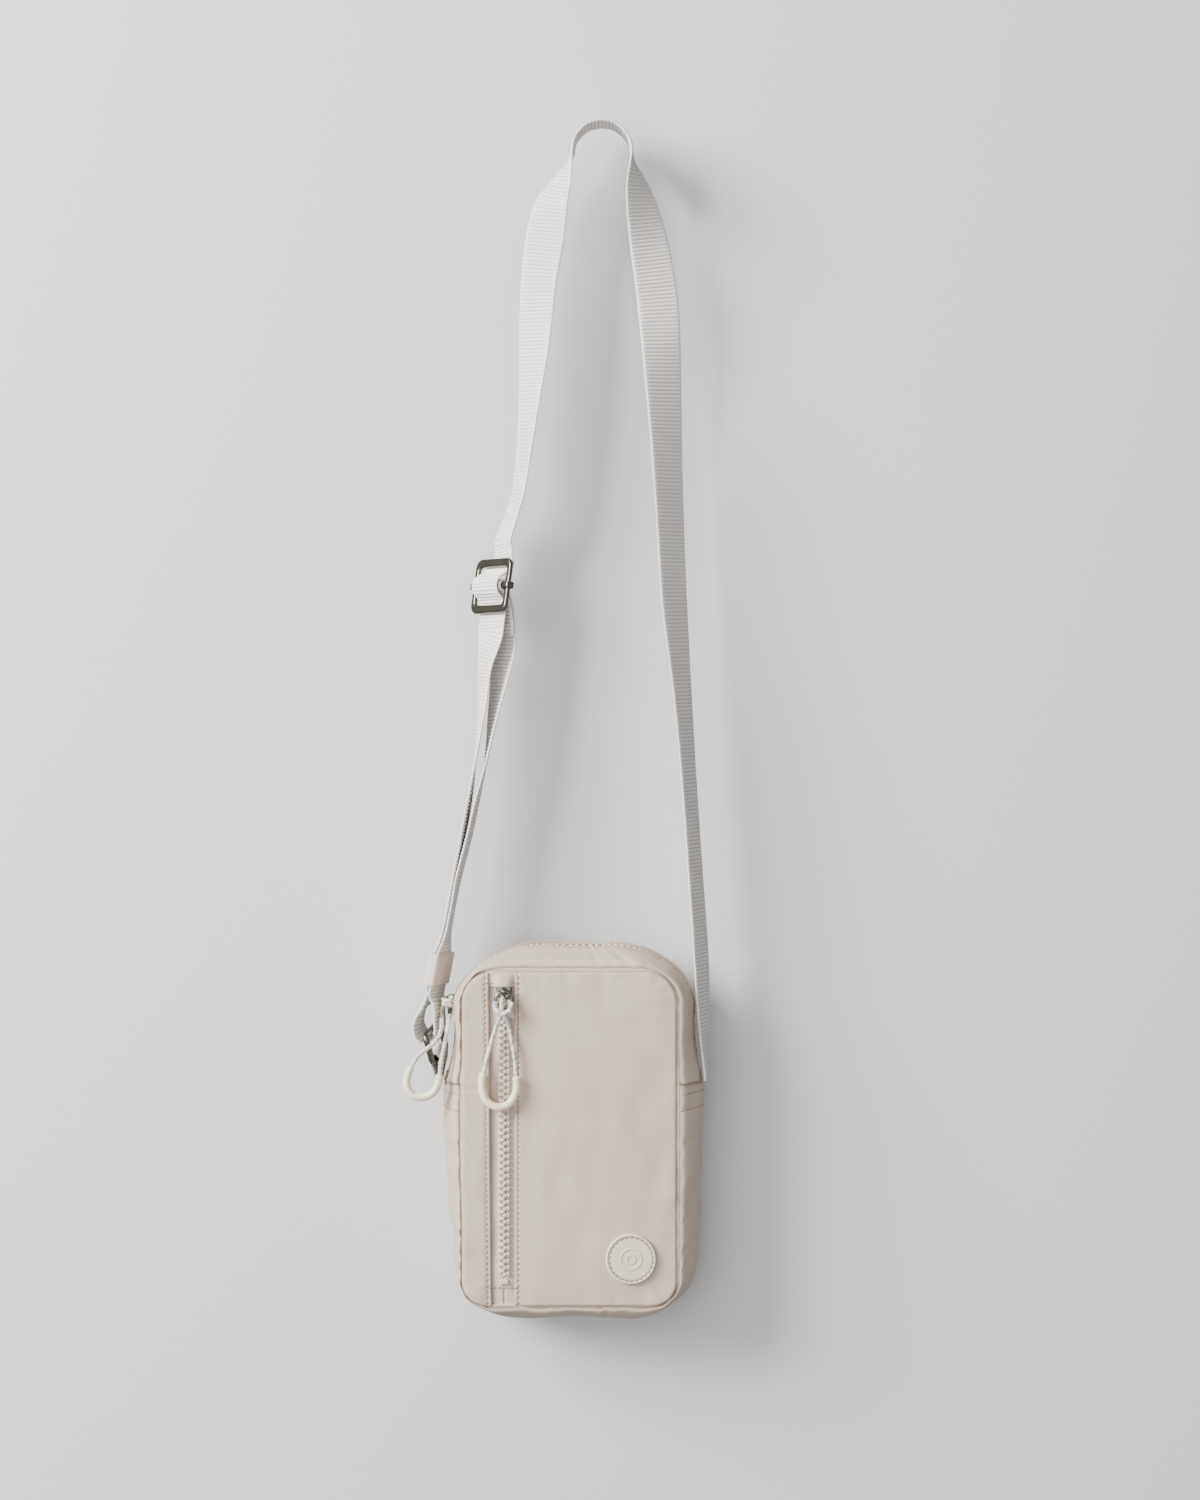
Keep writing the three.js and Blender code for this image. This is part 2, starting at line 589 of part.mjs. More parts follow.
// Webbing woven through the adjuster: behind its top bar, over the middle bar, behind the bottom bar.
function adjusterWebbing() {
  const over = [
    [21.7, -2.65], [18, -2.8], [13, -3.2], [7.4, -0.4], [3.8, 3.9], [0, 5.2], [-3.8, 3.9], [-7.4, -0.4], [-13, -3.2], [-18, -3.35], [-21.7, -3.4],
  ];
  piece("strap_over_bar", webbing(frameRoute(adjusterFrame, over), 3), materials.webbing);
  const wrapRadius = 2.75;
  const wrap = [];
  for (let angle = 190; angle >= -90; angle -= 35) {
    const radians = THREE.MathUtils.degToRad(angle);
    wrap.push([wrapRadius * Math.sin(radians), wrapRadius * Math.cos(radians)]);
  }
  const sewn = [[-27.1, -9.9], [-24, -9.9], [-18, -9.7], [-9.5, -7.9], ...wrap, [-5.8, -3.2], [-10.5, -6.1], [-18, -7.7], [-26, -7.95]];
  piece("strap_sewn_end", webbing(frameRoute(adjusterFrame, sewn), 4), materials.webbing);
}

// The doubled webbing between adjuster and keeper, and its loop through the side ring.
function lowerRuns() {
  const at = (x, y, z, turn) => ({ point: vec(x, y, z), edge: edgeDirection(turn) });
  const layer = webbingThickness / 2 + gap;
  const keeperAt = (up, out) => frameRoute(keeperFrame, [[up, out]])[0];
  const straight = (out) => [50, 40, 30, 20, 10, 0, -6, -10.6].map((up) => keeperAt(up, out));
  const outer = [
    ...frameRoute(adjusterFrame, [[-22.1, -3.4], [-25.5, -3.45]]), at(-64.3, 1.5, -297, 26), at(-66, 1, -320, 18),
    at(-69.6, 0.4, -349, 8), at(-73.2, 0, -373, -6), at(-76.6, 0, -392, -14), ...straight(layer),
  ];
  const inner = [
    ...frameRoute(adjusterFrame, [[-27.4, -9.9], [-31, -9.9]]), at(-57, 4.4, -301, 25), at(-59.6, 3, -325, 16),
    at(-63.9, 1.4, -350, 7), at(-69.0, 0.6, -373, -6), at(-73.2, 0.2, -392, -14), ...straight(-layer),
  ];
  piece("strap_outer_run", webbing(outer), materials.webbing);
  piece("strap_inner_run", webbing(inner), materials.webbing);
  const loose = (x, z) => ({ point: vec(x, 0, z), edge: ringEdge });
  const loop = [
    keeperAt(-11, -layer), keeperAt(-14.5, -layer), loose(-89.9, -482.5), loose(-89.5, -490), loose(-89.4, -497.2), loose(-91.2, -501.9),
    loose(-95, -503), loose(-98.8, -500.6), loose(-100.8, -495.6), loose(-100.1, -490), loose(-97.3, -484),
    keeperAt(-14.5, layer + 0.5), keeperAt(-11, layer),
  ];
  piece("strap_ring_loop", webbing(loop, 3.2), materials.webbing);
}

// ---------------------------------------------------------------- strap hardware

function roundedRectangle(shape, width, height, radius) {
  const [x, y] = [width / 2, height / 2];
  shape.moveTo(-x + radius, -y);
  shape.lineTo(x - radius, -y);
  shape.absarc(x - radius, -y + radius, radius, -Math.PI / 2, 0, false);
  shape.lineTo(x, y - radius);
  shape.absarc(x - radius, y - radius, radius, 0, Math.PI / 2, false);
  shape.lineTo(-x + radius, y);
  shape.absarc(-x + radius, y - radius, radius, Math.PI / 2, Math.PI, false);
  shape.lineTo(-x, -y + radius);
  shape.absarc(-x + radius, -y + radius, radius, Math.PI, Math.PI * 1.5, false);
  return shape;
}

// Flat cast frame with one rectangular window, in its own frame.
function castFrame({ width, height, opening, bar, thickness }, cornerRadius) {
  const shape = roundedRectangle(new THREE.Shape(), width, height, cornerRadius);
  shape.holes.push(roundedRectangle(new THREE.Path(), opening, height - 2 * bar, cornerRadius * 0.45));
  const bevel = thickness * 0.22;
  const geometry = new THREE.ExtrudeGeometry(shape, {
    depth: thickness - 2 * bevel, bevelEnabled: true, bevelThickness: bevel, bevelSize: bevel,
    bevelOffset: -bevel, bevelSegments: 1, curveSegments: 4,
  });
  return geometry.translate(0, 0, -thickness / 2 + bevel);
}

// Middle bar of the adjuster, with a collar round each side rail that lets it slide along the frame.
function slidingBar() {
  const { width, opening, thickness } = adjuster;
  const railCentre = (width + opening) / 4;
  const railWidth = (width - opening) / 2;
  const bar = new THREE.CylinderGeometry(1.6, 1.6, opening - 1.6, 12).rotateZ(Math.PI / 2);
  const collars = [-1, 1].map((side) => {
    const outer = [railWidth / 2 + 1.2, 1.8, thickness / 2 + 1.3];
    const hole = [railWidth / 2 + gap, 3, thickness / 2 + gap];
    const span = (half) => block(half.map((value) => -value), half).translate(side * railCentre, 0, 0);
    return cut(span(outer), span(hole));
  });
  return join(bar, ...collars);
}

function sleeve() {
  const { width, depth, wall, height } = keeper;
  const shape = roundedRectangle(new THREE.Shape(), width, depth, 3.2);
  shape.holes.push(roundedRectangle(new THREE.Path(), width - 2 * wall, depth - 2 * wall, 2.1));
  const geometry = new THREE.ExtrudeGeometry(shape, { depth: height, bevelEnabled: false, curveSegments: 4 });
  return geometry.translate(0, 0, -height / 2).rotateX(-Math.PI / 2);
}

function hardware() {
  piece("adjuster_frame", castFrame(adjuster, 5), materials.gunmetal, adjusterFrame);
  piece("adjuster_sliding_bar", slidingBar(), materials.gunmetal, adjusterFrame);
  piece("keeper_sleeve", sleeve(), materials.webbing, keeperFrame);
  piece("side_ring", castFrame({ ...sideRing, height: ringHeight }, 4), materials.gunmetal, ringFrame);
}

// Short tab sewn into the left side seam and folded over the lower bar of the side ring.
function sideTab() {
  const seamEdge = vec(0, -1, 0);
  const mixed = seamEdge.clone().lerp(ringEdge, 0.5);
  const on = (x, z, edge) => ({ point: vec(x, 0, z), edge });
  const route = [
    on(-88.2, -524.3, seamEdge), on(-87.3, -519, mixed), on(-86.5, -513, ringEdge), on(-87.3, -508.9, ringEdge),
    on(-89.9, -507.3, ringEdge), on(-92.6, -508.9, ringEdge), on(-93.3, -513, ringEdge), on(-92.2, -519, mixed),
    on(-90.6, -524.3, seamEdge),
  ];
  piece("side_tab", webbing(route, 3), materials.webbing);
}

frontPanelHalves();
gussets();
backPanel();
zips();
slidersAndPulls();
inside();
badge();
shoulderRun();
strapEnds();
adjusterWebbing();
lowerRuns();
hardware();
sideTab();

export default bag;
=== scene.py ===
"""A small padded camera bag that hangs by its webbing strap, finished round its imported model.
Sizes are in millimetres unless a name says otherwise; every mesh is written in metres."""
import math

import bpy
import numpy as np
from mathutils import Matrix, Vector


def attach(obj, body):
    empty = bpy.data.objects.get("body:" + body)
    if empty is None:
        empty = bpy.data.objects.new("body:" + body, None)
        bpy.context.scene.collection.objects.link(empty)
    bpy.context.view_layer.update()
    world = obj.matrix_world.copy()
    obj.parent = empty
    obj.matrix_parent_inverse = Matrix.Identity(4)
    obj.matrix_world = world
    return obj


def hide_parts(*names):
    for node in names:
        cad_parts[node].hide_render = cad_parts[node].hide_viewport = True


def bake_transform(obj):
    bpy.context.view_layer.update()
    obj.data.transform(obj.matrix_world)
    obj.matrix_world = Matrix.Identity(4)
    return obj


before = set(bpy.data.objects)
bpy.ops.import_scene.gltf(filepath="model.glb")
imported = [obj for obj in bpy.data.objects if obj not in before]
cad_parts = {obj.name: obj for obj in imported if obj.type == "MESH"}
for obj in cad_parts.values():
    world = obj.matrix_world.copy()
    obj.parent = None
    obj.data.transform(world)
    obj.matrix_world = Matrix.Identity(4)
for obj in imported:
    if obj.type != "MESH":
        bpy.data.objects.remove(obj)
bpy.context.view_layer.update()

# ---------------------------------------------------------------- camera
# Straight ahead of the bag's face, level with the middle of the hanging strap, and far enough off
# that the whole strap and bag are in view.

camera_data = bpy.data.cameras.new("camera")
camera_data.lens = 74.2
camera_data.sensor_width = 36
camera = bpy.data.objects.new("camera", camera_data)
camera.location = (-0.0011, -1.7, -0.34375)
camera.rotation_euler = (math.radians(90), 0, 0)
bpy.context.scene.collection.objects.link(camera)
bpy.context.scene.camera = camera

# ---------------------------------------------------------------- pull cords
# Each zip pull is one limp braided cord, cream with slate flecks. It is doubled through the slider's
# ring and tied there with a lark's head, and its two ends are held in a moulded grip.

METRES = 0.001


def spline(points, per_span=14):
    """Smooth curve through set points: over each span a cubic whose end slopes come from the points
    on both sides, timed by the square roots of the spans. Columns past the third are carried along."""
    p = np.asarray(points, float)
    p = np.vstack([2 * p[0] - p[1], p, 2 * p[-1] - p[-2]])
    beat = np.sqrt(np.linalg.norm(np.diff(p[:, :3], axis=0), axis=1))[:, None]
    before, now, after = beat[:-2], beat[1:-1], beat[2:]
    x0, x1, x2, x3 = p[:-3], p[1:-2], p[2:-1], p[3:]
    leave = ((x1 - x0) / before - (x2 - x0) / (before + now)) * now + x2 - x1
    arrive = ((x3 - x2) / after - (x3 - x1) / (now + after)) * now + x2 - x1
    t = (np.arange(per_span) / per_span)[None, :, None]
    x1, x2, leave, arrive = (a[:, None, :] for a in (x1, x2, leave, arrive))
    curve = (x1 * (2 * t**3 - 3 * t**2 + 1) + leave * (t**3 - 2 * t**2 + t)
             + x2 * (3 * t**2 - 2 * t**3) + arrive * (t**3 - t**2))
    return np.vstack([curve.reshape(-1, p.shape[1]), p[-2]])


def walked(line):
    """Distance walked along a line at each of its points."""
    return np.concatenate([[0], np.cumsum(np.linalg.norm(np.diff(line[:, :3], axis=0), axis=1))])


def even(line, step):
    """The same line with its points a nearly fixed step apart."""
    way = walked(line)
    stops = np.linspace(0, way[-1], max(2, int(round(way[-1] / step))) + 1)
    return np.column_stack([np.interp(stops, way, column) for column in line.T])


def unit(vectors):
    """Vectors scaled to length 1."""
    return vectors / np.linalg.norm(vectors, axis=-1, keepdims=True)


def full_turn(count):
    """Angles evenly round a circle."""
    return 2 * np.pi * np.arange(count) / count


def skin(name, points, around=False, loop=False, caps=False, cloth=None, crease=None):
    """Mesh over a grid of points: each cell between two rows and two columns is one face. `around`
    joins the last column to the first, `loop` the last row to the first, and `caps` closes both end
    rows. A leading axis holds separate copies. `cloth` is a pair of distances, across the columns
    and along the rows, kept as the UV map that a weave follows; the last argument, 0 to 1 at each
    point, is kept as a second map of painted shade, by which the colour is darkened in folds and seams."""
    grid = points if points.ndim == 4 else points[None]
    copies, rows, columns = grid.shape[:3]
    index = np.arange(rows * columns).reshape(rows, columns)
    ends = [index[0], index[-1][::-1]] if caps else []
    index = np.column_stack([index, index[:, :1]]) if around else index
    index = np.vstack([index, index[:1]]) if loop else index
    corners = [np.s_[:-1, :-1], np.s_[:-1, 1:], np.s_[1:, 1:], np.s_[1:, :-1]]
    quads = np.stack([index[c] for c in corners], -1).reshape(-1, 4)
    across, along = cloth if cloth else (np.arange(index.shape[1]), np.arange(index.shape[0]))
    spread = np.stack(np.meshgrid(across, along), -1)
    quad_cloth = np.stack([spread[c] for c in corners], 2).reshape(-1, 2)
    end_cloth = [np.tile(spread[row, 0], (columns, 1)) for row in (0, -1)][: len(ends)]
    loops = np.concatenate([quads.ravel(), *ends])
    sizes = np.concatenate([np.full(len(quads), 4), np.full(len(ends), columns)])
    shift = (np.arange(copies) * rows * columns)[:, None]
    all_loops = (loops[None] + shift).ravel()
    all_sizes = np.tile(sizes, copies)
    all_cloth = np.tile(np.vstack([quad_cloth, *end_cloth]), (copies, 1)) * METRES
    flat = grid.reshape(-1, 3) * METRES
    a, b, c, d = (flat[quads[:, k]] for k in range(4))
    outward = np.einsum("ij,ij->", a, np.cross(b, c)) + np.einsum("ij,ij->", a, np.cross(c, d))
    starts = np.concatenate([[0], np.cumsum(all_sizes)[:-1]])
    mesh = bpy.data.meshes.new(name)
    mesh.vertices.add(len(flat))
    mesh.vertices.foreach_set("co", flat.astype(np.float32).ravel())
    mesh.loops.add(len(all_loops))
    mesh.loops.foreach_set("vertex_index", all_loops.astype(np.int32))
    mesh.polygons.add(len(all_sizes))
    mesh.polygons.foreach_set("loop_start", starts.astype(np.int32))
    mesh.update(calc_edges=True)
    mesh.uv_layers.new(name="cloth").data.foreach_set("uv", all_cloth.astype(np.float32).ravel())
    held = np.zeros((len(all_loops), 2), np.float32)
    held[:, 0] = 0 if crease is None else np.tile(crease.ravel(), copies)[all_loops]
    mesh.uv_layers.new(name="crease").data.foreach_set("uv", held.ravel())
    mesh.polygons.foreach_set("use_smooth", np.ones(len(all_sizes), bool))
    if outward < 0:
        mesh.flip_normals()
    made = bpy.data.objects.new(name, mesh)
    bpy.context.scene.collection.objects.link(made)
    return made


def tube(name, line, radius, sides=20):
    """Round section carried along a line without twist. `radius` is one value, one for each point
    of the line, or one for each point and side."""
    ahead = unit(np.gradient(line, axis=0))
    side = [unit(np.cross(ahead[0], (0.31, 0.9, 0.2)))]
    for direction in ahead[1:]:
        side.append(unit(side[-1] - direction * (side[-1] @ direction)))
    side = np.array(side)
    up = np.cross(ahead, side)
    turn = full_turn(sides)
    spokes = side[:, None] * np.cos(turn)[None, :, None] + up[:, None] * np.sin(turn)[None, :, None]
    reach = np.broadcast_to(np.reshape(radius, (-1, 1)) if np.ndim(radius) == 1 else radius,
                            (len(line), sides))
    return skin(name, line[:, None] + spokes * reach[..., None], around=True, caps=True,
                cloth=(np.linspace(0, 2 * np.pi, sides + 1), walked(line)))


def fit(piece, material, body=None, nodes=()):
    """Gives a piece its material and slot, the body it moves with and the nodes it stands for."""
    piece.data.materials.append(material)
    if body:
        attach(piece, body)
    if nodes:
        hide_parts(*nodes)
    return piece


def add_node(tree, kind, inputs=None, **settings):
    """New shader node with its settings; each named input is set, or linked from a socket."""
    made = tree.nodes.new(kind)
    for key, value in settings.items():
        setattr(made, key, value)
    for key, value in (inputs or {}).items():
        if isinstance(value, bpy.types.NodeSocket):
            tree.links.new(value, made.inputs[key])
        else:
            made.inputs[key].default_value = value
    return made


def maths(tree, operation, first, second=0.0, third=0.0):
    """Result of one Math node."""
    values = {0: first, 1: second, 2: third}
    return add_node(tree, "ShaderNodeMath", values, operation=operation).outputs[0]


def mixed_tone(tree, share, under, over, blend_type="MIX"):
    """Two colours mixed by a share. A Mix node's colour sockets are inputs 6 and 7 and output 2."""
    return add_node(tree, "ShaderNodeMix", {"Factor": share, 6: under, 7: over},
                    data_type="RGBA", blend_type=blend_type).outputs[2]


def colour(red, green, blue):
    """Colour of a dyed or painted surface from its usual 0 to 255 values."""
    share = np.array([red, green, blue]) / 255
    linear = np.where(share <= 0.04045, share / 12.92, ((share + 0.055) / 1.055) ** 2.4)
    return (*linear.tolist(), 1.0)


def group(name, inputs, outputs):
    """Empty shader group with named sockets; inputs are (name, type, default) rows."""
    tree = bpy.data.node_groups.new(name, "ShaderNodeTree")
    for label, kind, value in inputs:
        socket = tree.interface.new_socket(label, in_out="INPUT", socket_type=kind)
        if value is not None:
            socket.default_value = value
    for label, kind in outputs:
        tree.interface.new_socket(label, in_out="OUTPUT", socket_type=kind)
    return tree, tree.nodes.new("NodeGroupInput"), tree.nodes.new("NodeGroupOutput")


FLOAT, VECTOR, COLOR = "NodeSocketFloat", "NodeSocketVector", "NodeSocketColor"


def uneven_dye():
    """Group: dyed goods are never one tone. Two noises, one broad and one fine, mix two tones."""
    tree, given, out = group("uneven_dye", [
        ("Vector", VECTOR, None), ("Tone", COLOR, (1, 1, 1, 1)), ("Worn Tone", COLOR, (1, 1, 1, 1)),
        ("Patch Size", FLOAT, 30.0), ("Amount", FLOAT, 0.5),
    ], [("Color", COLOR), ("Mask", FLOAT)])
    broad = add_node(tree, "ShaderNodeTexNoise", {
        "Vector": given.outputs["Vector"], "Scale": given.outputs["Patch Size"], "Detail": 3.0})
    fine_scale = maths(tree, "MULTIPLY", given.outputs["Patch Size"], 14.0)
    fine = add_node(tree, "ShaderNodeTexNoise", {
        "Vector": given.outputs["Vector"], "Scale": fine_scale, "Detail": 2.0})
    both = maths(tree, "MULTIPLY_ADD", fine.outputs[0], 0.35,
                 maths(tree, "MULTIPLY", broad.outputs[0], 0.65))
    spread = add_node(tree, "ShaderNodeMapRange", {"Value": both, "From Min": 0.36, "From Max": 0.64})
    share = maths(tree, "MULTIPLY", spread.outputs[0], given.outputs["Amount"])
    dyed = mixed_tone(tree, share, given.outputs["Tone"], given.outputs["Worn Tone"])
    tree.links.new(dyed, out.inputs["Color"])
    tree.links.new(spread.outputs[0], out.inputs["Mask"])
    return tree


def woven():
    """Group: over-and-under threads on the cloth map. Each thread is a rounded ridge, and warp and
    weft show in turn, as in plain weave; Slant shears the cells, as in twill or a braid."""
    tree, given, out = group("woven", [
        ("Vector", VECTOR, None), ("Warp Pitch", FLOAT, 0.4), ("Weft Pitch", FLOAT, 0.4),
        ("Slant", FLOAT, 0.0),
    ], [("Height", FLOAT), ("Cell", FLOAT)])
    place = add_node(tree, "ShaderNodeSeparateXYZ", {"Vector": given.outputs["Vector"]})
    across = maths(tree, "MULTIPLY", place.outputs["X"], 1 / METRES)
    along = maths(tree, "MULTIPLY", place.outputs["Y"], 1 / METRES)
    sheared = maths(tree, "MULTIPLY_ADD", across, given.outputs["Slant"], along)
    back = maths(tree, "MULTIPLY", along, -1.0)
    counter = maths(tree, "MULTIPLY_ADD", back, given.outputs["Slant"], across)
    warp = maths(tree, "DIVIDE", counter, given.outputs["Warp Pitch"])
    weft = maths(tree, "DIVIDE", sheared, given.outputs["Weft Pitch"])
    ridges = [maths(tree, "ABSOLUTE", maths(tree, "SINE", maths(tree, "MULTIPLY", way, math.pi)))
              for way in (warp, weft)]
    parity = maths(tree, "ADD", maths(tree, "FLOOR", warp), maths(tree, "FLOOR", weft))
    turn = maths(tree, "FLOORED_MODULO", parity, 2.0)
    shown = add_node(tree, "ShaderNodeMix", {"Factor": turn, "A": ridges[0], "B": ridges[1]})
    cell = add_node(tree, "ShaderNodeCombineXYZ", {
        "X": maths(tree, "FLOOR", warp), "Y": maths(tree, "FLOOR", weft)})
    random = add_node(tree, "ShaderNodeTexWhiteNoise", {"Vector": cell.outputs[0]})
    tree.links.new(shown.outputs[0], out.inputs["Height"])
    tree.links.new(random.outputs["Value"], out.inputs["Cell"])
    return tree


DYE, WEAVE = uneven_dye(), woven()
# Painted shade: colours multiplied into the base colour in the weave's hollows and in folds and seams.
HOLLOW_SHADE, HOLLOW_SHARE = (0.45, 0.42, 0.4, 1), 0.22
FOLD_SHADE = (0.36, 0.27, 0.22, 1)


def finish(name, tone, worn, roughness, amount=0.6, patch_size=30.0, on_cloth=True, weave=None,
           relief=0.12, fleck=None, metallic=0.0, sheen=0.0, coat=0.0, grain=None, rough_spread=0.08):
    """Material of one finish. Uneven dye gives its colour; `weave` is (warp, weft, slant) and gives
    relief on the cloth map and painted shade in its hollows; `fleck` is (colour, share) of
    differently coloured cells; `grain` is (scale, distance) of a moulded or cast surface's fine
    unevenness. The mesh's second UV map darkens the colour with painted shade in folds and seams."""
    material = bpy.data.materials.new(name)
    material.use_nodes = True
    tree = material.node_tree
    shader = tree.nodes["Principled BSDF"]
    for label, value in (("Metallic", metallic), ("Sheen Weight", sheen), ("Coat Weight", coat)):
        shader.inputs[label].default_value = value
    coords = add_node(tree, "ShaderNodeTexCoord")
    dye = add_node(tree, "ShaderNodeGroup", {
        "Vector": coords.outputs["Object"], "Tone": tone, "Worn Tone": worn,
        "Patch Size": patch_size, "Amount": amount}, node_tree=DYE)
    shade = dye.outputs["Color"]
    height, depth = None, relief * METRES
    if weave:
        threads = add_node(tree, "ShaderNodeGroup", {
            "Vector": coords.outputs["UV" if on_cloth else "Object"],
            "Warp Pitch": weave[0], "Weft Pitch": weave[1], "Slant": weave[2]}, node_tree=WEAVE)
        height = threads.outputs["Height"]
        # Painted shade: the hollows between threads are darkened in the base colour.
        painted_hollow_shade = maths(tree, "MULTIPLY", maths(tree, "SUBTRACT", 1.0, height), HOLLOW_SHARE)
        shade = mixed_tone(tree, painted_hollow_shade, shade, HOLLOW_SHADE, "MULTIPLY")
        if fleck:
            chosen = maths(tree, "LESS_THAN", threads.outputs["Cell"], fleck[1])
            shade = mixed_tone(tree, chosen, shade, fleck[0])
    # Painted shade: the second UV map darkens the colour in folds, seams, needle holes and between ribs.
    shade_layer = add_node(tree, "ShaderNodeSeparateXYZ", {
        "Vector": add_node(tree, "ShaderNodeUVMap", uv_map="crease").outputs[0]})
    shade = mixed_tone(tree, shade_layer.outputs["X"], shade, FOLD_SHADE, "MULTIPLY")
    if grain:
        speck = add_node(tree, "ShaderNodeTexNoise", {
            "Vector": coords.outputs["Object"], "Scale": grain[0], "Detail": 4.0})
        height, depth = speck.outputs[0], grain[1] * METRES
    tree.links.new(shade, shader.inputs["Base Color"])
    wear = maths(tree, "MULTIPLY_ADD", dye.outputs["Mask"], rough_spread, roughness - rough_spread / 2)
    tree.links.new(wear, shader.inputs["Roughness"])
    if height:
        bump = add_node(tree, "ShaderNodeBump", {"Height": height, "Distance": depth, "Strength": 0.7})
        tree.links.new(bump.outputs[0], shader.inputs["Normal"])
    return material


cord_finish = finish("braided_cord", colour(240, 233, 210), colour(232, 224, 198), 0.8, sheen=0.2,
                     weave=(2.09, 2.09, 1.0), relief=0.2, fleck=(colour(168, 176, 190), 0.36))
cord_radius = 1.15


def cord_piece(name, route):
    """Braided cord: a round tube along its route, with the low lozenge relief of its strands."""
    line = even(spline(route), 0.4)
    turn, lay = 4 * full_turn(20)[None], 2.2 * walked(line)[:, None]
    strands = np.sin(turn + lay) * np.sin(turn - lay)
    return tube(name, line, cord_radius * (1 + 0.05 * strands)), line


front_cord_route = [
    (-64.0, -26.3, -517.9), (-62.4, -26.7, -511), (-59.3, -27.4, -500), (-56.2, -28.4, -490.5),
    (-54.6, -28.9, -484.6), (-54.2, -28.9, -480.8), (-53.7, -26.55, -478.2), (-53.0, -24.2, -480.8),
    (-52.5, -24.6, -484.6), (-51.2, -25.2, -490.5), (-49.2, -25.9, -500), (-47.2, -26.2, -511),
    (-46.5, -26.3, -519.9),
]
main_cord_route = [
    (-103.2, -20.4, -515.0), (-99.6, -20.4, -509.6), (-94.5, -20.2, -505.6), (-89.6, -19.0, -501.0),
    (-87.6, -15.6, -496.2), (-87.7, -9.0, -491.4), (-87.9, -4.0, -488.6), (-88.0, -2.1, -485.4),
    (-85.65, -2.0, -483.1), (-83.3, -2.1, -485.4), (-83.4, -5.0, -489.0), (-83.8, -9.2, -491.9),
    (-84.5, -14.6, -496.8), (-85.7, -18.6, -504), (-87.4, -20.2, -513), (-88.2, -20.4, -519.7),
]
front_cord, front_line = cord_piece("front_pull_braid", front_cord_route)
main_cord, main_line = cord_piece("main_pull_braid", main_cord_route)
fit(front_cord, cord_finish, "front_pull", ["front_pull_cord"])
fit(main_cord, cord_finish, "main_pull", ["main_pull_cord"])


# The lark's head: the cord's middle, folded down over the ring and round both strands.
front_hitch = tube("front_pull_hitch", even(spline([
    (-56.0, -24.6, -480.4), (-57.4, -26.2, -480.6), (-57.9, -28.4, -482.0), (-56.6, -29.9, -484.8),
    (-53.5, -30.6, -486.2), (-50.4, -29.9, -484.8), (-49.1, -28.4, -482.0), (-49.6, -26.2, -480.6),
    (-51.0, -24.6, -480.4)]), 0.4), cord_radius * 1.2)
coil = np.linspace(-0.6 * np.pi, 4.2 * np.pi, 110)
climb = (coil - coil[0]) / (coil[-1] - coil[0])
main_hitch = tube("main_pull_hitch", even(np.column_stack([
    -84.7 + 2.3 * np.cos(coil), -6.0 + 1.4 * climb - 3.1 * np.sin(coil), -484.4 + 5.4 * climb]), 0.4),
    cord_radius)
fit(front_hitch, cord_finish, "front_pull")
fit(main_hitch, cord_finish, "main_pull")

# ---------------------------------------------------------------- pull grips
# A cream U of soft moulded plastic on each cord, a little waisted where the cord enters. It is
# moulded over the cord's two ends and holds them apart.

grip_finish = finish("grip_plastic", colour(244, 236, 208), colour(238, 228, 198), 0.42, coat=0.12,
                     grain=(900, 0.02))
grip_radius = 2.1


def hump(value, width):
    """Smooth bump of height 1 where the value is 0, down to about a third a width away."""
    return np.exp(-((value / width) ** 2))


def grip_piece(name, route):
    """Tube along a U whose ends are rounded off and whose mouths have a small raised lip."""
    line = even(spline(route), 0.45)
    way = walked(line)
    inward = np.minimum(way, way[-1] - way)
    rounding = np.sqrt(np.clip(1 - (1 - np.clip(inward / 1.1, 0, 1)) ** 2, 0.12, 1))
    lip = 1 + 0.05 * hump(inward - 1.6, 0.7) - 0.05 * hump(inward - 3.4, 1.2)
    return tube(name, line, grip_radius * rounding * lip, 28)


front_grip = grip_piece("front_pull_u_grip", [
    (-64.1, -26.3, -518.2), (-64.9, -26.4, -522.5), (-64.7, -26.5, -528.5), (-61.6, -26.6, -534.6),
    (-55.8, -26.6, -537.0), (-49.9, -26.6, -534.8), (-46.7, -26.5, -529), (-46.2, -26.4, -524),
    (-46.4, -26.3, -520.2),
])
main_grip = grip_piece("main_pull_u_grip", [
    (-103.5, -20.4, -515.4), (-105.6, -20.4, -520.4), (-106.0, -20.4, -526.4), (-102.6, -20.4, -531.4),
    (-97.6, -20.4, -532.3), (-92.6, -20.4, -530.6), (-89.3, -20.4, -525.8), (-88.3, -20.4, -520.0),
])
fit(front_grip, grip_finish, "front_pull", ["front_pull_grip"])
fit(main_grip, grip_finish, "main_pull", ["main_pull_grip"])

# ---------------------------------------------------------------- gussets
# A padded band of the shell cloth runs round the bag: a lower piece, and above its side seams two
# strips with the main zip between them. Seams pucker it, and it swells between them.

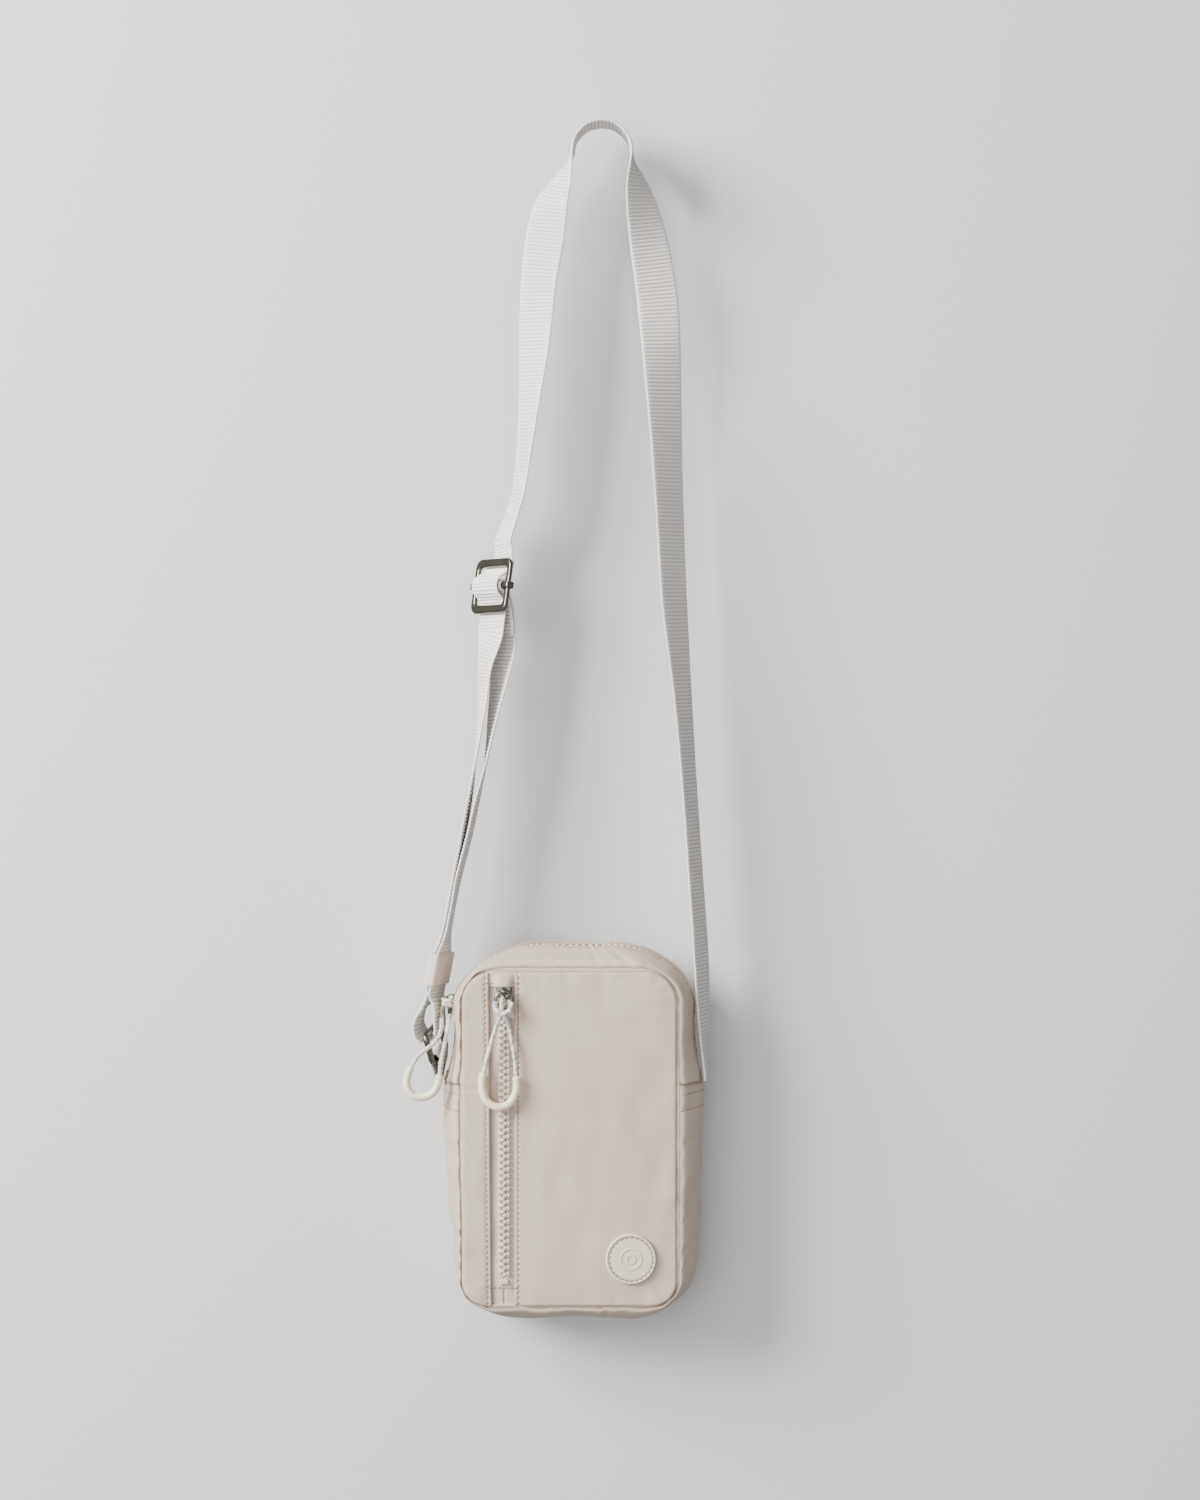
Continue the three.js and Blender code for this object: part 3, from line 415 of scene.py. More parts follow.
HALF_DEPTH, PANEL, WALL = 22.5, 2.4, 2.4
SIDE_SEAM = -525
SEAM = {"left": (-76.6, -76.6), "right": (41.2, 41.2), "top": -463.4, "bottom": -646.3,
        "radii": (14, 17.5, 17.5, 14), "rise": 1.0, "taper": (0, 0)}
FULL = {"left": (-88, -81.6), "right": (55.6, 51.3), "top": -449, "bottom": -655,
        "radii": (34, 50, 50, 36), "rise": 0.72, "taper": (6.6, -2.6)}
FLARE = {"left": (-532, -505), "right": (-535, -495)}
LIP_HEIGHT, LIP_WIDTH = 3.3, 2.2
shell_finish = finish("shell_cloth", colour(206, 189, 173), colour(200, 182, 165), 0.6, sheen=0.1,
                      weave=(0.42, 0.36, 0.0), relief=0.05, patch_size=24)


def side_x(shape, side, z):
    """Side of an outline at a height: its lower value, eased into its upper one over the flare."""
    low, high = FLARE[side]
    t = np.clip((z - low) / (high - low), 0, 1)
    below, above = shape[side]
    return below + (above - below) * t * t * (3 - 2 * t)


def outline(shape, u):
    """Point of a rounded outline, walked clockwise from bottom centre in eleven stretches. Straight
    sides are run at even speed and corners are quarter circles, the upper two flattened by the
    shape's rise; below the side seams, at 3 and 8, the sides lean in by its taper."""
    u = np.asarray(u, float) % 11
    stretch = np.floor(u).astype(int)
    t = u - stretch
    (left, left_above), (right, right_above) = shape["left"], shape["right"]
    top, bottom, (bl, tl, tr, br) = shape["top"], shape["bottom"], shape["radii"]
    rise, (in_left, in_right) = shape["rise"], shape["taper"]
    middle = (left + right) / 2
    foot_left, foot_right = left + in_left + bl, right + in_right - br
    angle = -np.pi / 2 * t

    def corner(x, z, radius, start, tall=1.0):
        return x + radius * np.cos(angle + start), z + tall * radius * np.sin(angle + start)

    def side(name, low, high, taper=0.0):
        z = low + (high - low) * t
        drop = np.clip((SIDE_SEAM - z) / (SIDE_SEAM - bottom - max(bl, br)), 0, 1)
        return side_x(shape, name, z) + taper * drop**1.3, z

    ones = np.ones_like(t)
    parts = [
        (middle + (foot_left - middle) * t, bottom * ones),
        corner(foot_left, bottom + bl, bl, 1.5 * np.pi),
        side("left", bottom + bl, SIDE_SEAM, in_left),
        side("left", SIDE_SEAM, top - rise * tl),
        corner(left_above + tl, top - rise * tl, tl, np.pi, rise),
        (left_above + tl + (right_above - tr - left_above - tl) * t, top * ones),
        corner(right_above - tr, top - rise * tr, tr, 0.5 * np.pi, rise),
        side("right", top - rise * tr, SIDE_SEAM),
        side("right", SIDE_SEAM, bottom + br, in_right),
        corner(foot_right, bottom + br, br, 0.0),
        (foot_right + (middle - foot_right) * t, bottom * ones),
    ]
    x = np.choose(stretch, [p[0] for p in parts])
    z = np.choose(stretch, [p[1] for p in parts])
    return np.stack([x, z], -1)


def outline_ahead(u):
    """Direction in which the full outline runs."""
    return unit(outline(FULL, u + 0.02) - outline(FULL, u - 0.02))


def waves(points, shortest, longest, seed, count=26):
    """Soft folds: a sum of sine waves in random directions, longer ones higher, scaled to about 1."""
    rng = np.random.default_rng(seed)
    length = np.exp(rng.uniform(math.log(shortest), math.log(longest), count))
    heading = unit(rng.normal(size=(count, points.shape[-1])))
    phase = rng.uniform(0, 2 * np.pi, count)
    height = length**0.7
    folds = np.sin(2 * np.pi * (points @ (heading / length[:, None]).T) + phase)
    return (folds * height).sum(-1) / (np.sqrt((height**2).sum() / 2) * 1.6)


def paired(first, second):
    """Two numbers or arrays brought to one shape."""
    return np.broadcast_arrays(np.asarray(first, float), np.asarray(second, float))


def fullness(y):
    """How far the band has swollen from its seams, 0, to its middle, 1."""
    across = np.clip(np.abs(y) / (HALF_DEPTH - PANEL), 0, 1)
    return (1 - across**2.4) ** 0.9


def band(u, y, offset=0.0):
    """Outer face of the band, round position by depth: the seam outline swells into the full one,
    then moves along the full outline's normal by the offset. Next to the seams it stands up as a lip."""
    u, y = paired(u, y)
    swell = fullness(y)[..., None]
    place = outline(SEAM, u) * (1 - swell) + outline(FULL, u) * swell
    ahead = outline_ahead(u)
    x = place[..., 0] - ahead[..., 1] * offset
    z = place[..., 1] + ahead[..., 0] * offset
    to_seam = np.clip(HALF_DEPTH - PANEL - np.abs(y), 0, None)
    lip = np.sign(y) * LIP_HEIGHT * to_seam / LIP_WIDTH * np.exp(1 - to_seam / LIP_WIDTH)
    return np.stack([x, y + lip, z], -1)


STITCH = 3.1
ZIP_Y, ZIP_WINDOW, ROW_INSET = -2, 5, 2.3
ZIP_EDGES = (ZIP_Y - ZIP_WINDOW, ZIP_Y + ZIP_WINDOW)
ZIP_ROWS = (ZIP_EDGES[0] - ROW_INSET, ZIP_EDGES[1] + ROW_INSET)
SEAM_ROWS = (2.2, 5.6)
STRETCH = 40


def zip_gap(y):
    """Distance across the band from the nearer edge of the main zip's opening."""
    return np.minimum(np.abs(y - ZIP_EDGES[0]), np.abs(y - ZIP_EDGES[1]))


def side_gap(u):
    """Distance along the band from the nearer side seam, where a stretch is about 40 mm long."""
    return STRETCH * np.minimum(np.abs(u % 11 - 3), np.abs(u % 11 - 8))


def turned_edge(distance, radius):
    """Share by which a folded edge has dropped: 1 at the edge, 0 a radius further in."""
    return 1 - np.sqrt(np.clip(1 - (1 - np.clip(distance / radius, 0, 1)) ** 2, 0, 1))


def band_relief(u, y, upper):
    """Height of the cloth over the plain band: broad folds, puckers that run out from the front and
    back seams, the rolled edge and stitch furrow beside the zip, and the dip at each side seam."""
    u, y = paired(u, y)
    place = band(u, y)
    foot = outline(SEAM, u)
    to_seam = HALF_DEPTH - PANEL - np.abs(y)
    folds = 0.7 * waves(place, 16, 60, 3) * np.clip(to_seam / 5, 0, 1)
    sides = np.where(y > 0, 40.0, 0.0)
    puckers = 0.5 * waves(foot + sides[..., None], 5, 14, 11) * np.exp(-to_seam / 5.5)
    height = folds + puckers - 0.7 * hump(to_seam, 1.0)
    seam = side_gap(u)
    if upper:
        edge = zip_gap(y)
        ripple = 0.18 * waves(foot, 4, 9, 23) * hump(edge - 1, 3)
        height += ripple - 1.5 * turned_edge(edge, 1.5) - 0.32 * hump(edge - ROW_INSET, 0.75)
        return height + 0.25 * hump(seam, 1.4)
    rows = sum(hump(seam - row, 0.8) for row in SEAM_ROWS)
    return height - 0.34 * rows - 0.5 * hump(seam, 0.8)


def band_painted_shade(u, y, upper):
    """Painted shade held in the band's folds: at both seams, at the side seams and at the zip's edges."""
    u, y = paired(u, y)
    held = hump(HALF_DEPTH - PANEL - np.abs(y), 0.9) + 0.7 * hump(side_gap(u), 0.6)
    return np.clip(held + 0.5 * hump(zip_gap(y), 0.6) if upper else held, 0, 1)


def round_steps(start, end, step):
    """Positions round the band from start to end, a nearly fixed distance apart."""
    fine = np.linspace(start, end, 4000)
    way = walked(np.column_stack([outline(FULL, fine), np.zeros(4000)]))
    return np.interp(np.linspace(0, way[-1], int(way[-1] / step) + 1), way, fine), way[-1]


def wrapped(x, gap):
    """Cloth map distances round a closed section: over its face, back over its rear, and home."""
    return np.concatenate([x, x[::-1] + gap, x[:1]])


def band_piece(name, start, end, depths, upper):
    """Closed strip of band: its outer face with the cloth's relief, and a plain inner face."""
    u, length = round_steps(start, end, 0.8)
    outer = band(u[:, None], depths[None], band_relief(u[:, None], depths[None], upper))
    inner = band(u[:, None], depths[None, ::-1], -WALL)
    # Painted shade on the outer face; the inner face gets none.
    held = band_painted_shade(u[:, None], depths[None], upper)
    return skin(name, np.concatenate([outer, inner], 1), around=True, caps=True,
                cloth=(wrapped(depths, 60), np.linspace(0, length, len(u))),
                crease=np.concatenate([held, 0 * held], 1))


def closer(*stretches):
    """Depths for the columns of a strip, from (start, end, step) stretches laid end to end."""
    runs = [np.arange(low, high - step / 2, step) for low, high, step in stretches]
    return np.concatenate([*runs, [stretches[-1][1]]])


BAND_EDGE = HALF_DEPTH - PANEL - 0.15
lower_band = band_piece("lower_gusset_cloth", 8.0, 14.0, closer(
    (-BAND_EDGE, -15, 0.45), (-15, 15, 0.9), (15, BAND_EDGE, 0.45)), False)
front_band = band_piece("front_zip_gusset_cloth", 3.0, 8.0, closer(
    (-BAND_EDGE, -15, 0.45), (-15, -11, 0.7), (-11, ZIP_EDGES[0], 0.3)), True)
back_band = band_piece("back_zip_gusset_cloth", 3.0, 8.0, closer(
    (ZIP_EDGES[1], 7, 0.3), (7, 15, 0.8), (15, BAND_EDGE, 0.45)), True)
fit(lower_band, shell_finish, "bag", ["lower_gusset"])
fit(front_band, shell_finish, "bag", ["zip_gusset_front"])
fit(back_band, shell_finish, "bag", ["zip_gusset_back"])

# ---------------------------------------------------------------- front panel
# Two foam-backed pieces of shell cloth with the pocket zip's window between them. Their outer edges
# turn into the seam, and their inner edges are folded under and topstitched.

WINDOW_LEFT, WINDOW_RIGHT = (-61.3, -59.7), (-47.6, -47.6)
WINDOW_MIDDLE = -54.4
FRONT_ROWS = {"left": (-64.0, -62.2), "right": (-45.6, -45.6)}
CROSS_SEAM_Z, CROSS_SEAM_END = -527.4, -63


def slanted(pair, z):
    """X of a nearly upright line at a height, from its X at the top and at the bottom of the panel."""
    share = (z - SEAM["top"]) / (SEAM["bottom"] - SEAM["top"])
    return pair[0] + (pair[1] - pair[0]) * share


def seam_distance(x, z):
    """Distance in from the panel's rounded seam, and the point of the seam nearest to each place."""
    left, right = SEAM["left"][0], SEAM["right"][0]
    top, bottom, (bl, tl, tr, br) = SEAM["top"], SEAM["bottom"], SEAM["radii"]
    cx, cz = (left + right) / 2, (top + bottom) / 2
    radius = np.where(z > cz, np.where(x < cx, tl, tr), np.where(x < cx, bl, br))
    qx = np.abs(x - cx) - ((right - left) / 2 - radius)
    qz = np.abs(z - cz) - ((top - bottom) / 2 - radius)
    out = np.hypot(np.maximum(qx, 0), np.maximum(qz, 0))
    distance = radius - out - np.minimum(np.maximum(qx, qz), 0)
    in_corner = (qx > 0) & (qz > 0)
    nx = np.where(in_corner, qx / np.maximum(out, 1e-6), np.where(qx > qz, 1, 0)) * np.sign(x - cx)
    nz = np.where(in_corner, qz / np.maximum(out, 1e-6), np.where(qx > qz, 0, 1)) * np.sign(z - cz)
    return distance, np.stack([x + nx * distance, z + nz * distance], -1)


def panel_limits(z):
    """Left and right ends of the panel's row at a height."""
    top, bottom, (bl, tl, tr, br) = SEAM["top"], SEAM["bottom"], SEAM["radii"]

    def inset(upper, lower):
        below = np.clip(bottom + lower - z, 0, None)
        deep = np.where(z > top - upper, z - (top - upper), below)
        radius = np.where(z > top - upper, upper, lower)
        return radius - np.sqrt(np.clip(radius**2 - deep**2, 0, None))

    return SEAM["left"][0] + inset(tl, bl), SEAM["right"][0] - inset(tr, br)


def window_distance(x, z):
    """Distance from the zip window's nearer folded edge."""
    return np.where(x < WINDOW_MIDDLE, slanted(WINDOW_LEFT, z) - x, x - slanted(WINDOW_RIGHT, z))


def row_distance(x, z):
    """Distance from the nearer row of topstitching."""
    left, right = (x - slanted(FRONT_ROWS[side], z) for side in ("left", "right"))
    return np.where(x < WINDOW_MIDDLE, left, right)


def seam_painted_shade(x, z):
    """Painted shade held at the panel's outer seam."""
    return hump(seam_distance(x, z)[0], 0.85)


def panel_painted_shade(x, z):
    """Painted shade held at the panel's seams, at the window's folds and in the needle holes."""
    holes = (0.5 + 0.5 * np.cos(2 * np.pi * z / STITCH)) * hump(row_distance(x, z), 0.6)
    cross_seam = hump(z - CROSS_SEAM_Z, 0.6) * (x < CROSS_SEAM_END)
    held = seam_painted_shade(x, z) + 0.6 * hump(window_distance(x, z), 0.5)
    return np.clip(held + 0.55 * holes + 0.25 * cross_seam, 0, 1)


def panel_face(x, z):
    """Depth of the front panel's face: a low crown, edges turned into the seam, puckers square to
    it, folded window edges with a stitch furrow beside them, and soft folds in the cloth."""
    x, z = np.broadcast_arrays(x, z)
    distance, foot = seam_distance(x, z)
    window, row = window_distance(x, z), row_distance(x, z)
    inside = np.clip(distance / 1.5, 0, 1)
    crown = 1.3 * np.clip(distance / 26, 0, 1) ** 0.6 * (0.3 + 0.7 * np.clip(window / 16, 0, 1))
    corner = (np.exp(-((x - 36) ** 2 + (z + 470) ** 2) / 400)
              + np.exp(-((x + 70) ** 2 + (z + 636) ** 2) / 300))
    puckers = (0.3 + 0.2 * corner) * waves(foot, 7, 20, 7) * np.exp(-distance / 8) * inside
    folds = 0.42 * waves(np.stack([x, z * 0.85], -1), 16, 70, 5) * np.clip(distance / 8, 0, 1)
    down = np.stack([np.zeros_like(z), z], -1)
    gather = 0.07 * waves(down, 4, 12, 17) * np.exp(-np.abs(row) / 2.5) * np.clip(window / 1.5, 0, 1)
    sunk = 2.3 * turned_edge(distance, 2.2) + 0.9 * hump(distance, 0.5)
    sunk += (1.0 + crown) * turned_edge(window, 1.2)
    sunk += 0.34 * hump(z - CROSS_SEAM_Z, 0.8) * (x < CROSS_SEAM_END)
    sunk += (0.34 + 0.14 * np.cos(2 * np.pi * z / STITCH)) * hump(row, 0.75)
    return sunk - crown - puckers - folds - gather - HALF_DEPTH


def heights():
    """Heights of the panel's rows, closer together round the corners."""
    turn = np.linspace(0, np.pi, 250)
    share = 0.5 - 0.5 * np.cos(turn)
    share = 0.55 * share + 0.45 * turn / np.pi
    return SEAM["top"] - 0.02 + (SEAM["bottom"] - SEAM["top"] + 0.04) * share


def panel_piece(name, low, high, columns, face, back, crease):
    """Closed panel: rows from its low to its high limit, `columns` being shares of the way across."""
    z = heights()[:, None]
    x = low(z) + (high(z) - low(z)) * columns[None]
    rows = z + 0 * x
    front = np.stack([x, face(x, z), rows], -1)
    rear = np.stack([x, np.full_like(x, back), rows], -1)[:, ::-1]
    # Painted shade on the front face; the rear gets none.
    held = crease(x, rows)
    return skin(name, np.concatenate([front, rear], 1), around=True, caps=True,
                cloth=(wrapped(x[len(x) // 2], 200), -z[:, 0]),
                crease=np.concatenate([held, 0 * held], 1))


def crowded(count):
    """Shares of the way across a panel, crowded towards the edges that are turned or stitched."""
    t = np.linspace(0, 1, count)
    return t - 0.12 * np.sin(2 * np.pi * t)


def left_limit(z):
    """Left end of the panel's row at a height."""
    return panel_limits(z)[0]


def right_limit(z):
    """Right end of the panel's row at a height."""
    return panel_limits(z)[1]


left_panel = panel_piece(
    "front_panel_left_cloth", lambda z: np.minimum(left_limit(z), slanted(WINDOW_LEFT, z) - 2),
    lambda z: slanted(WINDOW_LEFT, z), crowded(44), panel_face, -HALF_DEPTH + PANEL, panel_painted_shade)
right_panel = panel_piece(
    "front_panel_right_cloth", lambda z: slanted(WINDOW_RIGHT, z), right_limit, crowded(150),
    panel_face, -HALF_DEPTH + PANEL, panel_painted_shade)
fit(left_panel, shell_finish, "bag", ["front_panel_left"])
fit(right_panel, shell_finish, "bag", ["front_panel_right"])

# ---------------------------------------------------------------- back panel
# One plain padded piece of the shell cloth, a little crowned, that lies against the wearer or the
# wall. It is sewn into the band's back seam as the front panel is into its front one.


def back_face(x, z):
    """Depth of the back panel's face: a low crown, edges turned into the seam, and puckers."""
    x, z = np.broadcast_arrays(x, z)
    distance, foot = seam_distance(x, z)
    folds = 0.25 * waves(np.stack([x, z], -1), 14, 60, 31) * np.clip(distance / 8, 0, 1)
    puckers = 0.3 * waves(foot, 5, 15, 37) * np.exp(-distance / 7) * np.clip(distance / 1.5, 0, 1)
    return HALF_DEPTH + folds + puckers - 2.3 * turned_edge(distance, 2.6)


back_panel = panel_piece("back_panel_cloth", left_limit, right_limit, crowded(120), back_face,
                         HALF_DEPTH - PANEL, seam_painted_shade)
fit(back_panel, shell_finish, "bag", ["back_panel"])

# ---------------------------------------------------------------- front zip
# A moulded zip behind the window: two woven tapes, each with a row of plastic teeth on its edge, a
# cloth garage over its top end and a metal stop at its bottom end.

TAPE_FACE, TAPE_THICK = -HALF_DEPTH + PANEL + 0.3, 0.7
PUSHED, PUSHED_HALF_WIDTH = 1.5, 7.2
CHAIN_X, CHAIN_TOP, CHAIN_BOTTOM, PITCH = -53.2, -487, -630.5, 3.55
TEETH_FACE = TAPE_FACE - PUSHED - 0.6
GARAGE_BOTTOM = -472.6
tape_finish = finish("zip_tape", colour(212, 193, 182), colour(204, 184, 173), 0.82, sheen=0.2,
                     weave=(0.9, 0.55, 0.35), relief=0.12, patch_size=60)
teeth_finish = finish("zip_teeth", colour(216, 200, 188), colour(208, 191, 178), 0.42, grain=(1200, 0.02),
                      patch_size=80)


def pressed(value, power):
    """Sine or cosine made squarer, for a section between round and rectangular."""
    return np.sign(value) * np.abs(value) ** power


def tape_strip(name, x0, x1):
    """Flat woven tape with rounded long edges, pushed forward where it carries the teeth."""
    turn = full_turn(32) + np.pi / 32
    x = (x0 + x1) / 2 + (x1 - x0) / 2 * pressed(np.cos(turn), 0.25)
    thick = TAPE_THICK / 2 * pressed(np.sin(turn), 0.6)
    forward = PUSHED * np.clip((PUSHED_HALF_WIDTH - np.abs(x - CHAIN_X - 0.3)) / 1.5, 0, 1)
    z = np.linspace(SEAM["bottom"] + 0.3, SEAM["top"] - 3, 60)
    thinned = np.ones(60)
    thinned[[0, -1]] = 0.7
    y = TAPE_FACE + TAPE_THICK / 2 + (thick - forward)[None] * thinned[:, None]
    return skin(name, np.stack(np.broadcast_arrays(x[None], y, z[:, None]), -1), around=True, caps=True,
                cloth=(np.append(x, x[0]), z))


def pebble(shape, rows=7, columns=10, square=0.45):
    """Closed form between a ball and a block, of half sizes `shape`."""
    v = np.linspace(0.04, np.pi - 0.04, rows)[:, None]
    u = full_turn(columns)[None]
    ring = pressed(np.sin(v), square)
    form = np.stack([ring * pressed(np.cos(u), square), ring * pressed(np.sin(u), square),
                     pressed(np.cos(v), square) + 0 * u], -1)
    return form * shape


for side, direction, outer_x in (("left", -1, -66.4), ("right", 1, -42.4)):
    tape = tape_strip(f"front_zip_tape_{side}", *sorted((CHAIN_X + direction * 0.2, outer_x)))
    fit(tape, tape_finish, "bag", [f"front_zip_half_{side}"])
    count = int((CHAIN_TOP - CHAIN_BOTTOM) / PITCH)
    z = CHAIN_TOP - np.arange(count) * PITCH - (0 if direction < 0 else PITCH / 2) - 1
    parts = []
    heads, feet = ((1.15, 0.95, 0.88), 0.6, TEETH_FACE - 0.2), ((1.15, 0.75, 1.32), 2.1, TEETH_FACE)
    for shape, inset, y in (heads, feet):
        spots = np.stack([np.full(count, CHAIN_X + direction * inset), np.full(count, y), z], -1)
        parts.append(pebble(shape)[None] + spots[:, None, None])
    teeth = skin(f"front_zip_teeth_{side}", np.concatenate(parts), around=True, caps=True)
    fit(teeth, teeth_finish, "bag")

# The garage: a doubled scrap of shell cloth that bridges the window over the top of the chain.
garage_z = np.linspace(SEAM["top"], GARAGE_BOTTOM, 30)[:, None]
garage_x = np.linspace(-61.9, -47.0, 40)[None]
garage_low = turned_edge(garage_z - GARAGE_BOTTOM, 1.0)
garage_dome = (2.6 * np.exp(-(((garage_x + 53.4) / 4.9) ** 4))
               * np.clip((-465.2 - garage_z) / 5, 0, 1) ** 0.7)
garage_folds = 0.12 * waves(np.stack(np.broadcast_arrays(garage_x, garage_z), -1), 4, 12, 41)
garage_y = (-HALF_DEPTH + 0.75 - garage_dome + 1.3 * garage_low
            - 0.5 * np.cos((garage_x - WINDOW_MIDDLE) / 4.6) + garage_folds)
garage_face = np.stack(np.broadcast_arrays(garage_x, garage_y, garage_z), -1)
garage_back = garage_face[:, ::-1] * (1, 0, 1) + (0, TAPE_FACE - 0.35, 0)
garage = skin("front_zip_garage_cloth", np.concatenate([garage_face, garage_back], 1), around=True,
              caps=True, cloth=(wrapped(garage_x[0], 30), -garage_z[:, 0]))
fit(garage, shell_finish, "bag", ["front_zip_garage"])

gunmetal = finish("gunmetal", colour(112, 111, 99), colour(90, 89, 79), 0.26, metallic=1.0, coat=0.3,
                  patch_size=120, grain=(2600, 0.01), rough_spread=0.12)
stop_form = pebble((2.5, 0.85, 1.45), 24, 40, 0.5)[None] + np.array([CHAIN_X, TEETH_FACE, CHAIN_BOTTOM - 1.9])
stop = skin("front_zip_stop", stop_form, around=True, caps=True)
fit(stop, teeth_finish, "bag", ["front_zip_bottom_stop"])

# ---------------------------------------------------------------- main zip
# The same zip, larger: its tapes lie under the two upper strips of the band, and its teeth stand up
# in the opening between them, from one side seam over the top to the other.

TAPE_DEPTH = -WALL - 0.3


def band_strip(name, start, end, depths, top, bottom):
    """Closed strip that follows the band at a fixed depth under its face."""
    u, length = round_steps(start, end, 1.2)
    outer = band(u[:, None], depths[None], top)
    inner = band(u[:, None], depths[None, ::-1], bottom)
    return skin(name, np.concatenate([outer, inner], 1), around=True, caps=True,
                cloth=(wrapped(depths, 40), np.linspace(0, length, len(u))))


for side, direction in (("front", -1), ("back", 1)):
    depths = ZIP_Y + direction * np.linspace(0.2, 9, 16)
    tape = band_strip(f"main_zip_tape_{side}", 3.02, 7.98, depths, TAPE_DEPTH, TAPE_DEPTH - TAPE_THICK)
    fit(tape, tape_finish, "bag", [f"main_zip_half_{side}"])
    u, length = round_steps(3.13, 7.87, PITCH)
    u = u + (0 if direction < 0 else (u[1] - u[0]) / 2)
    ahead = outline_ahead(u)
    run = np.stack([ahead[:, 0], 0 * u, ahead[:, 1]], -1)
    rise = np.stack([-ahead[:, 1], 0 * u, ahead[:, 0]], -1)
    form = pebble((1, 1, 1))[None]
    parts = []
    for size, inset, lift in (((0.95, 0.88, 1.15), 0.6, 0.95), ((0.75, 1.32, 1.15), 2.1, 0.7)):
        spot = band(u, ZIP_Y + direction * inset, TAPE_DEPTH + lift)
        parts.append(spot[:, None, None] + form[..., 0:1] * rise[:, None, None] * size[0]
                     + form[..., 1:2] * run[:, None, None] * size[1]
                     + form[..., 2:3] * np.array([0, size[2], 0]))
    teeth = skin(f"main_zip_teeth_{side}", np.concatenate(parts), around=True, caps=True)
    fit(teeth, teeth_finish, "bag")

for side, start, end in (("left", 3.006, 3.13), ("right", 7.87, 7.994)):
    tab = band_strip(f"main_zip_end_{side}_cloth", start, end,
                     np.linspace(ZIP_EDGES[0] + 0.3, ZIP_EDGES[1] - 0.3, 14), 0.1, -0.55)
    fit(tab, shell_finish, "bag", [f"main_zip_end_{side}"])

# ---------------------------------------------------------------- stitching
# Polyester thread in even lockstitch: each stitch is a short arch of thread that bites into the
# cloth at both ends.

thread_finish = finish("sewing_thread", colour(176, 154, 139), colour(162, 141, 126), 0.6, sheen=0.2,
                       weave=(0.5, 0.25, 0.8), relief=0.05)


def stitches(name, line, rise, pitch=STITCH, length=2.3, thick=0.42):
    """Row of stitches on a line: at even steps an arch of thread, its feet sunk below the cloth.
    `rise` is the cloth's outward direction, one for all or one for each point of the line."""
    way = walked(line)
    middle = np.arange(pitch / 2, way[-1], pitch)

    def along(values, stops):
        columns = np.broadcast_to(values, line.shape).T
        return np.stack([np.interp(stops, way, column) for column in columns], -1)

    spot, up = along(line, middle), unit(along(rise, middle))
    run = unit(along(line, middle + 0.4) - along(line, middle - 0.4))
    side = unit(np.cross(run, up))
    a = np.linspace(-1, 1, 9)[:, None, None]
    turn = full_turn(6)[None, :, None]
    girth = thick * (0.35 + 0.65 * np.sqrt(np.clip(1 - a**4, 0, 1)))
    arch = 0.34 * (1 - a**2) - 0.16
    made = (spot[:, None, None] + run[:, None, None] * a * length / 2
            + up[:, None, None] * (arch + girth * np.sin(turn))
            + side[:, None, None] * girth * np.cos(turn))
    return skin(name, made, around=True, caps=True)


FORWARD = np.array([0, -1.0, 0])


def on_panel(x, z):
    """Line on the front panel's face."""
    x, z = paired(x, z)
    return np.stack([x, panel_face(x, z), z], -1)


sewn = []
row_z = np.linspace(SEAM["top"] - 2.4, SEAM["bottom"] + 2.4, 400)
for side, pair in FRONT_ROWS.items():
    sewn.append(stitches(f"stitches_window_{side}", on_panel(slanted(pair, row_z), row_z), FORWARD))
sunken = {"garage": -HALF_DEPTH + 0.35, "stop": TAPE_FACE - PUSHED - 0.1}
for label, z in (("garage", -470.2), ("stop", -635.6)):
    x = np.linspace(slanted(FRONT_ROWS["left"], z), slanted(FRONT_ROWS["right"], z), 80)
    z = z + 0 * x
    y = np.where(np.abs(x - WINDOW_MIDDLE) < 6.5, sunken[label], panel_face(x, z))
    sewn.append(stitches(f"stitches_{label}", np.stack([x, y, z], -1), FORWARD))


def on_band(u, y, upper):
    """Line on the band's face, and its outward directions."""
    u, y = paired(u, y)
    here = band(u, y, band_relief(u, y, upper))
    du = band(u + 0.003, y) - band(u - 0.003, y)
    dy = band(u, y + 0.1) - band(u, y - 0.1)
    return here, unit(np.cross(dy, du))


round_u = round_steps(3.03, 7.97, 0.8)[0]
for label, y in zip(("front", "back"), ZIP_ROWS):
    line, rise = on_band(round_u, y, True)
    sewn.append(stitches(f"stitches_main_zip_{label}", line, rise))
across_y = np.linspace(-BAND_EDGE + 0.8, BAND_EDGE - 0.8, 120)
for label, base, sign in (("left", 3, -1), ("right", 8, 1)):
    for number, step in enumerate(SEAM_ROWS, 1):
        line, rise = on_band(base + sign * step / STRETCH, across_y, False)
        sewn.append(stitches(f"stitches_{label}_seam_{number}", line, rise))
for row in sewn:
    fit(row, thread_finish, "bag")

# ---------------------------------------------------------------- sliders and rings
# Die-cast gunmetal sliders: a rounded body over the chain, two flanges round it, and a bridge that
# holds the pull's wire ring.


def frame_matrix(centre, across, up):
    """Frame of a turned piece: X across, Y up the piece and Z out of its face."""
    x, up = unit(np.asarray(across, float)), np.asarray(up, float)
    y = unit(up - x * (up @ x))
    return np.array([x, y, np.cross(x, y)]), np.asarray(centre, float)


def placed(points, place):
    """Points given in a piece's own frame, put where the piece is."""
    axes, centre = place
    return points @ axes + centre


